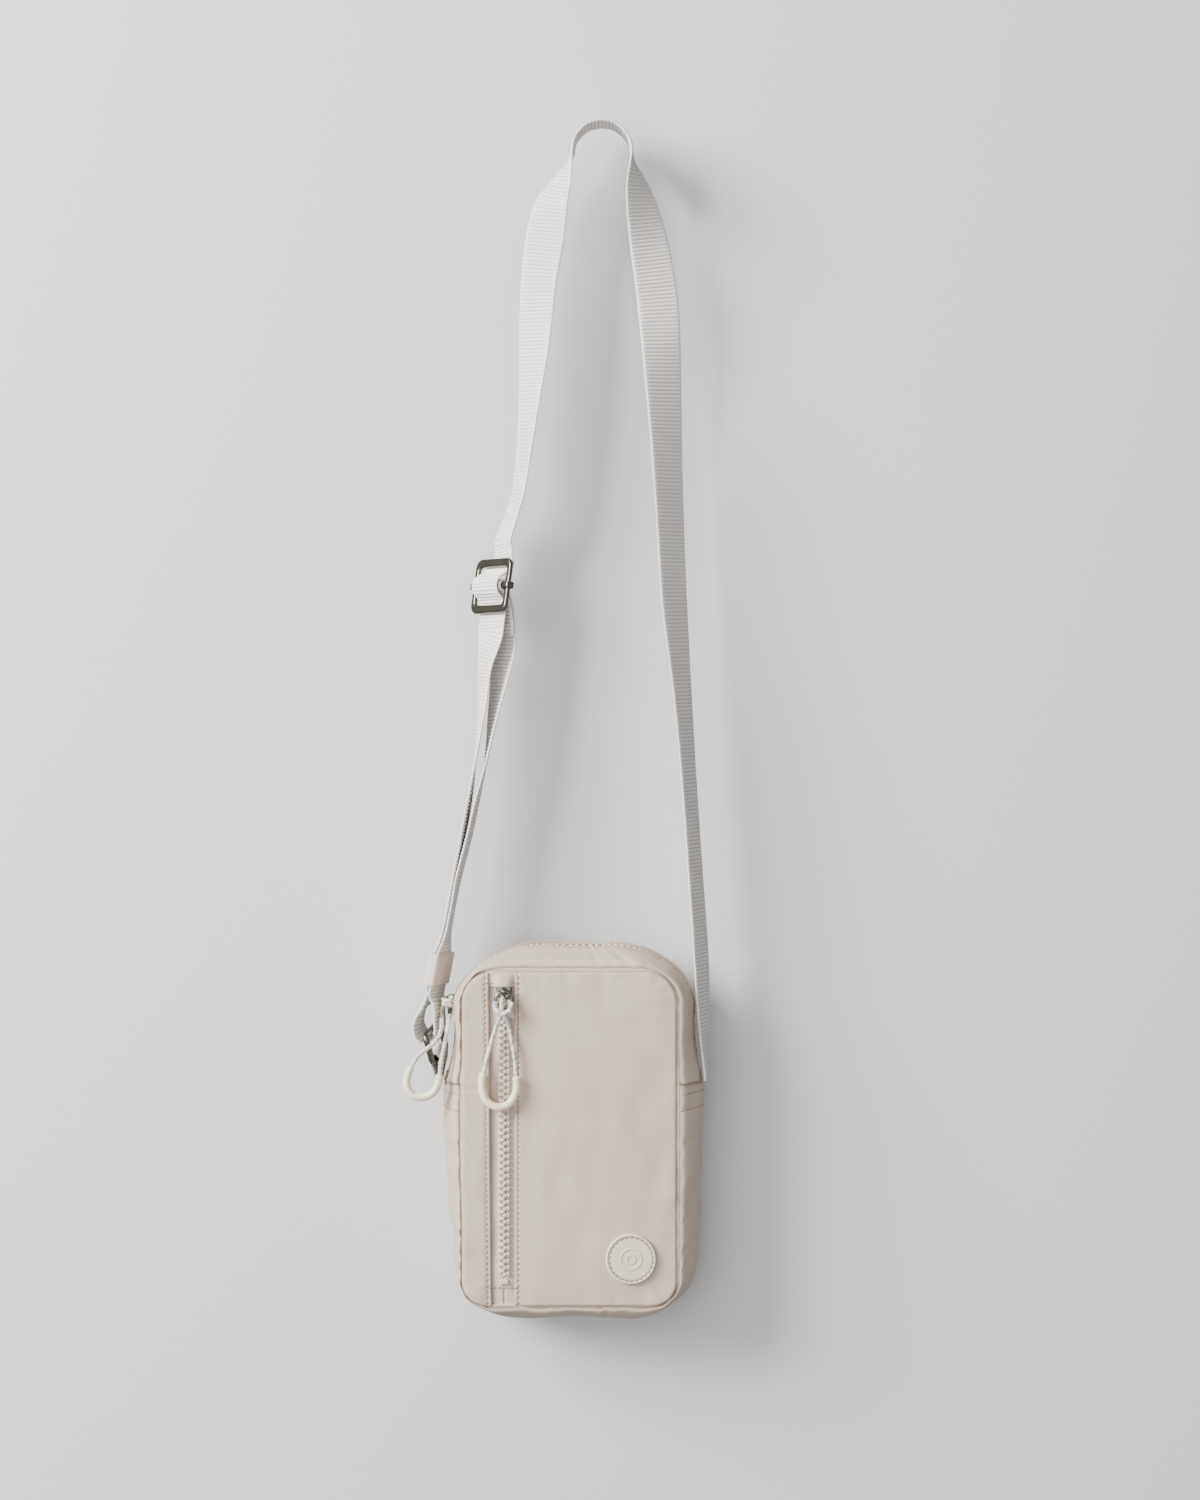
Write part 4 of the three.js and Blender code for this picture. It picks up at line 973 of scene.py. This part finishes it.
def pillow(half_x, half_y, half_z, waist=0.0, rows=22, columns=48, square=0.4, edge=0.35):
    """Closed cushion form with a squarish outline that narrows towards its low end by `waist`."""
    v = np.linspace(0.02, np.pi - 0.02, rows)[:, None]
    u = full_turn(columns)[None]
    ring = pressed(np.sin(v), edge)
    y = ring * pressed(np.sin(u), square) * half_y
    x = ring * pressed(np.cos(u), square) * half_x * (1 - waist * np.clip(-y / half_y, 0, 1))
    return np.stack([x, y, pressed(np.cos(v), edge) * half_z + 0 * u], -1)


def strip(route, width, thickness, step=0.2):
    """Bar of rounded rectangular section carried along a route in the YZ plane."""
    line = even(spline(route), step)
    sideways = np.array([1.0, 0, 0])
    rise = np.cross(unit(np.gradient(line, axis=0)), sideways)
    turn = full_turn(16)[None, :, None]
    w, t = pressed(np.cos(turn), 0.5) * width / 2, pressed(np.sin(turn), 0.5) * thickness / 2
    return line[:, None] + w * sideways + t * rise[:, None]


def slider_parts(name, place, body_name, cad):
    """Body, flanges and bridge of one slider."""
    cover = pillow(4.2, 4.7, 0.75, 0.22) + (0, 0, 1.05)
    flanges = np.stack([pillow(0.62, 1.95, 0.95) + (x, 1.9, -0.25) for x in (-3.66, 3.66)])
    bridge = strip([(0, -2.55, 1.3), (0, -2.6, 4.2), (0, -2.0, 5.7), (0, -0.5, 6.3), (0, 1.0, 5.7),
                    (0, 1.55, 4.2), (0, 1.5, 1.3)], 2.2, 0.95)
    for part, form, nodes in (("cover", cover, [cad]), ("flanges", flanges, []), ("bridge", bridge, [])):
        made = skin(f"{name}_{part}", placed(form, place), around=True, caps=True)
        fit(made, gunmetal, body_name, nodes)


def wire_ring(name, place, radius, wire, drop, out):
    """Round wire bent into a ring."""
    turn, girth = full_turn(64)[:, None], full_turn(20)[None]
    reach = radius + wire * np.cos(girth)
    ring = np.stack([reach * np.cos(turn), reach * np.sin(turn) - drop,
                     wire * np.sin(girth) + out + 0 * turn], -1)
    return skin(name, placed(ring, place), around=True, loop=True)


main_face = band(4.0, ZIP_Y, TAPE_DEPTH + 1.85)
front_place = frame_matrix((CHAIN_X, TAPE_FACE - 1.85, -474.1), (1, 0, 0), (0, 0, 1))
main_centre = (main_face[0] + 2.0, ZIP_Y, -480.3)
main_place = frame_matrix(main_centre, (0, -1, 0), (0.14, 0, 0.99))
main_hang = frame_matrix(main_centre, (0, -1, 0), (0, 0, 1))
for name, seat, place in (("front", front_place, front_place), ("main", main_place, main_hang)):
    slider_parts(f"{name}_slider", seat, f"{name}_slider", f"{name}_slider_body")
    ring = wire_ring(f"{name}_pull_wire_ring", place, 4.3, 0.95, 4.7, 4.9)
    fit(ring, gunmetal, f"{name}_pull", [f"{name}_pull_ring"])

# ---------------------------------------------------------------- rubber patch
# A round moulded badge, sewn on near the lower right corner, with a raised rim and a plain lens
# emblem of two rings.

rubber_finish = finish("patch_rubber", colour(222, 213, 194), colour(214, 204, 184), 0.5, coat=0.06,
                       grain=(1500, 0.03), patch_size=50)
PATCH_X, PATCH_Z, PATCH_RADIUS, PATCH_ROW = 15.7, -619.7, 13.6, 11.8


def raised(distance, centre, half, height):
    """Smooth ridge of a height round a centre distance."""
    return height / (1 + (np.abs(distance - centre) / half) ** 6)


patch_r = np.concatenate([np.linspace(0.02, PATCH_RADIUS - 0.5, 90),
                          PATCH_RADIUS - 0.5 + 0.5 * np.sin(np.linspace(0.1, np.pi / 2, 8))])[:, None]
patch_turn = full_turn(120)[None]
patch_edge = 0.5 - np.sqrt(np.clip(0.25 - np.clip(patch_r - PATCH_RADIUS + 0.5, 0, 0.5) ** 2, 0, None))
patch_top = (1.15 + raised(patch_r, 12.9, 0.35, 0.28) - raised(patch_r, PATCH_ROW, 0.42, 0.25) - patch_edge
             + raised(patch_r, 5.6, 0.45, 0.32) + raised(patch_r, 2.3, 0.4, 0.32))
patch_x = PATCH_X + patch_r * np.cos(patch_turn)
patch_z = PATCH_Z + patch_r * np.sin(patch_turn)
PATCH_BASE = panel_face(np.array([[PATCH_X]]), np.array([[PATCH_Z]]))[0, 0] + 0.1
patch_front = np.stack([patch_x, PATCH_BASE - patch_top + 0 * patch_x, patch_z], -1)
patch_rear = np.stack([patch_x, PATCH_BASE + 0.7 + 0 * patch_x, patch_z], -1)[::-1]
# Painted shade: the needle holes of the badge's stitch row are darkened in its colour.
patch_stitch_shade = hump(patch_r - PATCH_ROW, 0.5) * (0.5 + 0.5 * np.cos(26 * patch_turn))
badge = skin("rubber_badge", np.concatenate([patch_front, patch_rear]), around=True, caps=True,
             crease=np.concatenate([0.7 * patch_stitch_shade, 0 * patch_stitch_shade]))
fit(badge, rubber_finish, "bag", ["rubber_patch"])
ring_turn = np.linspace(0, 2 * np.pi, 200)
ring_line = np.stack([PATCH_X + PATCH_ROW * np.cos(ring_turn), 0 * ring_turn + PATCH_BASE - 1.0,
                      PATCH_Z + PATCH_ROW * np.sin(ring_turn)], -1)
badge_row = stitches("stitches_badge", ring_line, FORWARD, pitch=2.85, length=2.1)
fit(badge_row, thread_finish, "bag")

# ---------------------------------------------------------------- inside
# Behind the pocket: its lining sheet, foam pads on both faces, and the taffeta lining of the camera
# compartment, a sewn box open under the main zip.

TAFFETA = (colour(196, 189, 181), colour(182, 174, 166), 0.5)
lining_finish = finish("lining_taffeta", *TAFFETA, sheen=0.2, weave=(0.5, 0.5, 0.0), relief=0.05)
foam_finish = finish("foam", colour(236, 232, 222), colour(222, 216, 204), 0.92, grain=(700, 0.3))


def inset_panel(name, inset, front, back, relief, seed):
    """Flat piece of the panel's outline, drawn in from its seam, with a soft uneven face."""
    shrink = 1 - 2 * inset / (SEAM["top"] - SEAM["bottom"])
    z = SEAM["top"] - inset - (SEAM["top"] - heights()[::3, None]) * shrink
    low, high = left_limit(z) + inset, right_limit(z) - inset
    x = low + (high - low) * crowded(60)[None]
    rows = z + 0 * x
    rim = np.minimum(seam_distance(x, rows)[0] - inset, 2) / 2
    lift = relief * waves(np.stack([x, rows], -1), 12, 60, seed) * np.clip(rim, 0, 1)
    face = np.stack([x, front + lift, rows], -1)
    rear = np.stack([x, back + lift, rows], -1)[:, ::-1]
    return skin(name, np.concatenate([face, rear], 1), around=True, caps=True,
                cloth=(wrapped(x[len(x) // 2], 200), -z[:, 0]))


pocket_lining = inset_panel("front_pocket_lining_sheet", 2.2, -12.9, -12.3, 0.05, 51)
front_foam = inset_panel("front_foam_slab", 4, -12.0, -9.0, 0.0, 52)
back_foam = inset_panel("back_foam_slab", 4, 16.8, 19.8, 0.0, 53)
fit(pocket_lining, lining_finish, "bag", ["front_pocket_lining"])
fit(front_foam, foam_finish, "bag", ["front_foam_pad"])
fit(back_foam, foam_finish, "bag", ["back_foam_pad"])
box_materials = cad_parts["main_lining"].data.materials
box_materials.clear()
box_materials.append(finish("lining_box_taffeta", *TAFFETA, sheen=0.2, on_cloth=False,
                            weave=(0.5, 0.5, 0.0), relief=0.05))

# ---------------------------------------------------------------- strap
# One length of 23 mm ribbed webbing: from the right side seam up over the peg and down to the
# adjuster, through it, down through the keeper and the side ring, and back up to the adjuster's bar.

webbing_finish = finish("webbing", colour(255, 252, 248), colour(252, 245, 240), 0.72, sheen=0.2,
                        weave=(0.75, 0.5, 0.0), relief=0.14, amount=0.5)
WEB_WIDTH, WEB_THICK, RIB, BEAD = 23, 1.5, 2.1, 0.93


def turned(degrees):
    """Direction of the webbing's front edge, turned from straight ahead towards +X."""
    angle = np.radians(degrees)
    return np.array([np.sin(angle), -np.cos(angle), 0])


def at(x, z, degrees, y=0.0):
    """Route point with the webbing's edge turned by an angle."""
    return [x, y, z, *turned(degrees)]


def leaning(degrees):
    """Upward direction that leans towards +X."""
    return np.array([np.sin(np.radians(degrees)), 0, np.cos(np.radians(degrees))])


def framed(place, rows):
    """Route points from distances up a piece and out of its face."""
    return [[*placed(np.array([0, up, out]), place), *place[0][0]] for up, out in rows]


ADJUSTER = frame_matrix((-60.5, 0, -253.6), turned(38), leaning(12))
KEEPER = frame_matrix((-89.4, 0, -463.7), turned(-18), leaning(12))
RING_EDGE = unit(np.array([-0.2, -0.96, -0.2]))
RING_TOP, RING_BOTTOM = np.array([-93, 0, -496.7]), np.array([-89.7, 0, -512])
RING = frame_matrix((RING_TOP + RING_BOTTOM) / 2, RING_EDGE, RING_TOP - RING_BOTTOM)


def ringed(x, z):
    """Route point of the loop through the side ring, its edge parallel to the ring's bars."""
    return [x, 0, z, *RING_EDGE]


def edged(rows, angles):
    """Route points with their edge directions replaced by turned ones."""
    return [[*row[:3], *turned(angle)] for row, angle in zip(rows, angles)]


LAYER = 1.05
arc_turn = np.radians(np.arange(0, 181, 22.5))
right_end = [
    at(57, -524.4, -3), at(56.9, -519, -5), at(56.2, -507, -9), at(55.6, -483.5, -18), at(54.6, -459, -21),
]
shoulder = [
    at(53.4, -439, -21), at(52.4, -426, -21), at(48.6, -371, -21), at(44.5, -316, -26), at(39.7, -261, -38),
    at(36.9, -206, -43), at(34.1, -151, -56), at(30.5, -96, -78), at(25.4, -63, -66), at(20.2, -36, -38),
    *[at(16.25 * math.cos(a), -15.5 + 16.25 * math.sin(a), 0) for a in arc_turn],
    at(-22.0, -30, 30), at(-28.2, -45, 56), at(-31.4, -63.3, 68), at(-34.7, -85.3, 60), at(-37.4, -123.8, 45),
    at(-39.9, -151.3, 31),
]
left_run = [
    at(-42.8, -178.8, 22), at(-46.2, -203, 19), *edged(framed(ADJUSTER, [(25.5, -3.6)]), [23]),
]
over_bar = [
    *edged(framed(ADJUSTER, [(21.7, -4.6), (18, -4.8)]), [24, 26]),
    *framed(ADJUSTER, [(13, -4.3), (7.4, -0.4), (3.8, 3.9), (0, 5.2), (-3.8, 3.9), (-7.4, -0.4),
                       (-13, -3.2), (-18, -3.35)]),
]
above_keeper = edged(framed(KEEPER, [(up, LAYER) for up in (50, 40, 30, 19)]), (-4, -3, -3, -5))
above_keeper_back = edged(framed(KEEPER, [(up, -LAYER) for up in (19, 30, 40, 50)]), (-5, -3, -3, -4))
outer_run = [
    *framed(ADJUSTER, [(-21.7, -3.4), (-25.5, -3.45)]), at(-64.3, -297, 21, 1.5), at(-66, -320, 12, 1),
    at(-69.6, -349, 3, 0.4), at(-73.2, -373, -3), at(-76.6, -392, -4), *above_keeper,
    *framed(KEEPER, [(up, LAYER) for up in (6, 0, -6)]),
]
ring_loop = [
    *framed(KEEPER, [(-10.8, LAYER), (-14.5, LAYER + 0.5)]), ringed(-97.3, -484), ringed(-100.1, -490),
    ringed(-100.8, -495.6), ringed(-98.8, -500.6), ringed(-95, -503), ringed(-91.2, -501.9),
    ringed(-89.4, -497.2), ringed(-89.5, -490), ringed(-89.9, -482.5), *framed(KEEPER, [(-14.5, -LAYER)]),
]
inner_run = [
    *framed(KEEPER, [(up, -LAYER) for up in (-10.8, -6, 0, 6)]), *above_keeper_back, at(-73.2, -392, -4, 0.2),
    at(-69, -373, -3, 0.6), at(-63.9, -350, 3, 1.4), at(-60.0, -325, 15, 3), at(-56.0, -301, 29, 4.4),
    *framed(ADJUSTER, [(-33, -13.2)]),
]
wrap_turn = np.radians(np.arange(190, -91, -35))
sewn_end = framed(ADJUSTER, [
    (-28.3, -12.8), (-24, -12.3), (-18, -11.2), (-9.5, -8.2),
    *[(2.75 * math.sin(a), 2.75 * math.cos(a)) for a in wrap_turn],
    (-5.8, -3.2), (-10.5, -6.2), (-18, -9.0), (-26, -10.6)])
stretches = [right_end, shoulder, left_run, over_bar, outer_run, ring_loop, inner_run, sewn_end]
PER_SPAN = 24
strap_line = spline(sum(stretches, []), PER_SPAN)


def webbing(name, line, seed=0):
    """Ribbed webbing along a line of points and edge directions: a thin section with beaded edges,
    whose two faces rise and fall with each rib, and which wavers slightly along its length."""
    line = even(line, RIB / 6)
    way = walked(line)
    ahead = unit(np.gradient(line[:, :3], axis=0))
    edge = unit(line[:, 3:6] - ahead * (line[:, 3:6] * ahead).sum(-1, keepdims=True))
    face = np.cross(ahead, edge)
    x = np.sin(np.linspace(-np.pi / 2, np.pi / 2, 15))
    bead = 0.1 * hump(np.abs(x) - BEAD, 0.06)
    half = WEB_THICK / 2 * (np.sqrt(np.clip(1 - np.abs(x) ** 16, 0.06, 1)) + bead)
    middle = np.clip((BEAD - np.abs(x)) / 0.05, 0, 1)[None]
    beat = np.sin(2 * np.pi * way / RIB)[:, None]
    reach = x[None] * WEB_WIDTH / 2 * (1 + 0.004 * np.sin(way / 9 + seed))[:, None]
    spread = line[:, None, :3] + edge[:, None] * reach[..., None]
    rise = face[:, None] * (half[None] * (1 + 0.34 * beat * middle))[..., None]
    # Painted shade: the valleys between ribs are darkened in the webbing's colour.
    between = 0.7 * np.clip(-beat, 0, 1) ** 2 * middle
    return skin(name, np.concatenate([spread + rise, (spread - rise)[:, ::-1]], 1), around=True,
                caps=True, cloth=(wrapped(x * WEB_WIDTH / 2, WEB_WIDTH), way),
                crease=np.concatenate([between, between[:, ::-1]], 1))


def stretch_line(number):
    """Part of the strap's line from a stretch's first point to the point after its last."""
    counts = np.cumsum([0, *[len(s) for s in stretches]])
    return strap_line[counts[number] * PER_SPAN: counts[number + 1] * PER_SPAN + 1]


def half_of(line, part):
    """First or second half of a line."""
    middle = len(line) // 2
    return line[: middle + 1] if part == 0 else line[middle:]


bar_line = stretch_line(3)
strap_pieces = [
    ("strap_right_end_webbing", stretch_line(0), "strap_right_end", ("bag", "strap")),
    ("strap_shoulder_webbing", stretch_line(1), "strap_shoulder_run", None),
    ("strap_left_webbing", stretch_line(2), "strap_left_run", ("strap", "adjuster")),
    ("strap_over_bar_upper", half_of(bar_line, 0), "strap_over_bar", ("adjuster", "adjuster_bar")),
    ("strap_over_bar_lower", half_of(bar_line, 1), None, ("adjuster_bar", "adjuster")),
    ("strap_outer_webbing", stretch_line(4), "strap_outer_run", ("adjuster", "strap")),
    ("strap_loop_webbing", stretch_line(5), "strap_ring_loop", None),
    ("strap_inner_webbing", stretch_line(6), "strap_inner_run", ("strap", "adjuster")),
    ("strap_sewn_end_webbing", stretch_line(7), "strap_sewn_end", None),
]
for number, (name, line, node_name, bodies) in enumerate(strap_pieces):
    made = webbing(name, line, number)
    fit(made, webbing_finish, None, [node_name] if node_name else [])
    if bodies:
        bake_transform(made)
    elif node_name == "strap_sewn_end":
        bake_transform(made)
    else:
        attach(made, "strap")

seam_edge = np.array([0, -1.0, 0])
tab_edge = unit(np.array([-0.1, -0.97, -0.2]))
mixed_edge = unit(seam_edge + tab_edge)
tab_line = spline([
    [-88.4, 0, -524.3, *seam_edge], [-87.7, 0, -519, *mixed_edge], [-87.1, 0, -512.6, *tab_edge],
    [-87.8, 0, -509.6, *tab_edge], [-89.8, 0, -508.6, *tab_edge], [-91.9, 0, -509.8, *tab_edge],
    [-92.6, 0, -512.8, *tab_edge], [-91.9, 0, -519, *mixed_edge],
    [-90.6, 0, -524.3, *seam_edge]], PER_SPAN)
tab = webbing("side_tab_webbing", tab_line, 5)
fit(tab, webbing_finish, None, ["side_tab"])
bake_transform(tab)

# ---------------------------------------------------------------- strap hardware
# Die-cast gunmetal: the adjuster's frame and its sliding bar, and the ring at the bag's left side.
# The keeper is a sewn sleeve of the webbing's own yarn.


def rounded_loop(width, height, radius, count=160):
    """Points of a rounded rectangle: half of them round its corners and half along its sides."""
    u = np.linspace(0, 4, count, endpoint=False)
    quarter, t = np.floor(u).astype(int), u - np.floor(u)
    corners = np.array([[1, 1], [-1, 1], [-1, -1], [1, -1]]) * (width / 2 - radius, height / 2 - radius)
    turn = np.pi / 2 * (quarter + np.minimum(2 * t, 1))
    along = np.clip(2 * t - 1, 0, 1)[:, None]
    centre = corners[quarter] * (1 - along) + corners[(quarter + 1) % 4] * along
    return centre + radius * np.stack([np.cos(turn), np.sin(turn)], -1)


def framed_section(outer, inner, count, power, thickness):
    """Section of a frame between two outlines: flat places in the frame's plane, and depths."""
    turn = full_turn(count)
    share = 0.5 + 0.5 * pressed(np.cos(turn), power)
    flat = inner[:, None] + (outer - inner)[:, None] * share[None, :, None]
    return flat, np.broadcast_to(pressed(np.sin(turn), power) * thickness / 2, flat.shape[:2])


def cast_frame(name, width, height, opening, bar, thickness, corner, place, square=0.55):
    """Closed frame whose section, from its inner to its outer outline, is a rounded rectangle."""
    outer, inner = rounded_loop(width, height, corner), rounded_loop(opening, height - 2 * bar, corner * 0.45)
    flat, depth = framed_section(outer, inner, 28, square, thickness)
    return skin(name, placed(np.dstack([flat, depth[..., None]]), place), around=True, loop=True)


adjuster_cast = cast_frame("adjuster_cast_frame", 32.4, 30.5, 26, 4.6, 2.4, 5, ADJUSTER)
ring_height = float(np.linalg.norm(RING_TOP - RING_BOTTOM)) + 3.2
ring_cast = cast_frame("side_cast_ring", 33.4, ring_height, 25.6, 3.2, 3.2, 4.6, RING, 0.8)
fit(adjuster_cast, gunmetal, "adjuster", ["adjuster_frame"])
fit(ring_cast, gunmetal, "side_ring", ["side_ring"])

bar_x, bar_turn = np.linspace(-12.6, 12.6, 60)[:, None], full_turn(28)[None]
bar_grid = np.stack(np.broadcast_arrays(bar_x, 1.6 * np.cos(bar_turn), 1.6 * np.sin(bar_turn)), -1)
bar = skin("adjuster_round_bar", placed(bar_grid, ADJUSTER), around=True, caps=True)
fit(bar, gunmetal, "adjuster_bar", ["adjuster_sliding_bar"])


def collar(centre_x):
    """Rounded rectangular band that wraps one side rail, as tall as it is wide."""
    flat, rise = framed_section(rounded_loop(5.6, 5.0, 0.9), rounded_loop(3.8, 3.0, 0.5), 20, 0.5, 3.6)
    return np.stack([flat[..., 0] + centre_x, rise, flat[..., 1]], -1)


for side, centre_x in (("back", -14.6), ("front", 14.6)):
    piece = skin(f"adjuster_collar_{side}", placed(collar(centre_x), ADJUSTER), around=True, loop=True)
    fit(piece, gunmetal, "adjuster_bar")


def sleeve(width, depth, wall, height):
    """Closed tube of rounded rectangular plan: up its outside, over a rounded lip, down its inside."""
    outer, inner = rounded_loop(width, depth, 1.7), rounded_loop(width - 2 * wall, depth - 2 * wall, 0.8)
    flat, rise = framed_section(outer, inner, 64, 0.35, height)
    return np.stack([flat[..., 0], rise, -flat[..., 1]], -1)


keeper_finish = finish("keeper_weave", colour(232, 216, 207), colour(222, 204, 194), 0.7, sheen=0.2,
                       on_cloth=False, weave=(0.7, 0.7, 0.0), relief=0.1)
keeper = skin("keeper_sewn_sleeve", placed(sleeve(25.2, 6.2, 0.9, 17.6), KEEPER), around=True, loop=True)
fit(keeper, keeper_finish, "keeper", ["keeper_sleeve"])

# ---------------------------------------------------------------- wall, floor and light
# A pale wall just behind the bag and a pale floor below the view. The wall shows to the camera from
# its front only and lets other light through, so the bag's back is lit as in an open room.


def room_finish(name, tone):
    """Matt paint that only camera rays from the front see."""
    material = bpy.data.materials.new(name)
    material.use_nodes = True
    tree = material.node_tree
    shader = tree.nodes["Principled BSDF"]
    shader.inputs["Base Color"].default_value = tone
    shader.inputs["Roughness"].default_value = 0.9
    shader.inputs["Specular IOR Level"].default_value = 0.1
    clear = add_node(tree, "ShaderNodeBsdfTransparent")
    path = add_node(tree, "ShaderNodeLightPath")
    side = add_node(tree, "ShaderNodeNewGeometry")
    front = maths(tree, "SUBTRACT", 1.0, side.outputs["Backfacing"])
    seen = maths(tree, "MULTIPLY", path.outputs["Is Camera Ray"], front)
    mix = add_node(tree, "ShaderNodeMixShader", {0: seen, 1: clear.outputs[0], 2: shader.outputs[0]})
    tree.links.new(mix.outputs[0], tree.nodes["Material Output"].inputs["Surface"])
    return material


def plane(name, corners, material):
    """Flat four-cornered piece of the room."""
    mesh = bpy.data.meshes.new(name)
    mesh.from_pydata(corners, [], [(0, 1, 2, 3)])
    made = bpy.data.objects.new(name, mesh)
    made.data.materials.append(material)
    bpy.context.scene.collection.objects.link(made)
    return made


paint = room_finish("wall_paint", colour(217, 217, 217))
WALL_Y, FLOOR_Z = 0.027, -1.2
plane("wall", [(-3, WALL_Y, FLOOR_Z), (3, WALL_Y, FLOOR_Z), (3, WALL_Y, 1.6), (-3, WALL_Y, 1.6)], paint)
plane("floor", [(-3, -3, FLOOR_Z), (3, -3, FLOOR_Z), (3, WALL_Y, FLOOR_Z), (-3, WALL_Y, FLOOR_Z)], paint)


def soft_light(name, location, target, size, power):
    """Square soft box aimed at a point."""
    data = bpy.data.lights.new(name, "AREA")
    data.shape, data.size, data.energy = "SQUARE", size, power
    lamp = bpy.data.objects.new(name, data)
    lamp.location = location
    lamp.rotation_euler = (Vector(location) - Vector(target)).to_track_quat("Z", "Y").to_euler()
    bpy.context.scene.collection.objects.link(lamp)


soft_light("key", (-2.1, -1.2, 0.7), (0, 0, -0.42), 1.4, 205)
soft_light("fill", (-0.8, -2.6, -0.1), (0, 0, -0.4), 2.2, 46)
world = bpy.data.worlds.new("room")
bpy.context.scene.world = world
world.use_nodes = True
sky = world.node_tree.nodes["Background"]
sky.inputs["Color"].default_value = (1, 1, 1, 1)
sky.inputs["Strength"].default_value = 0.42
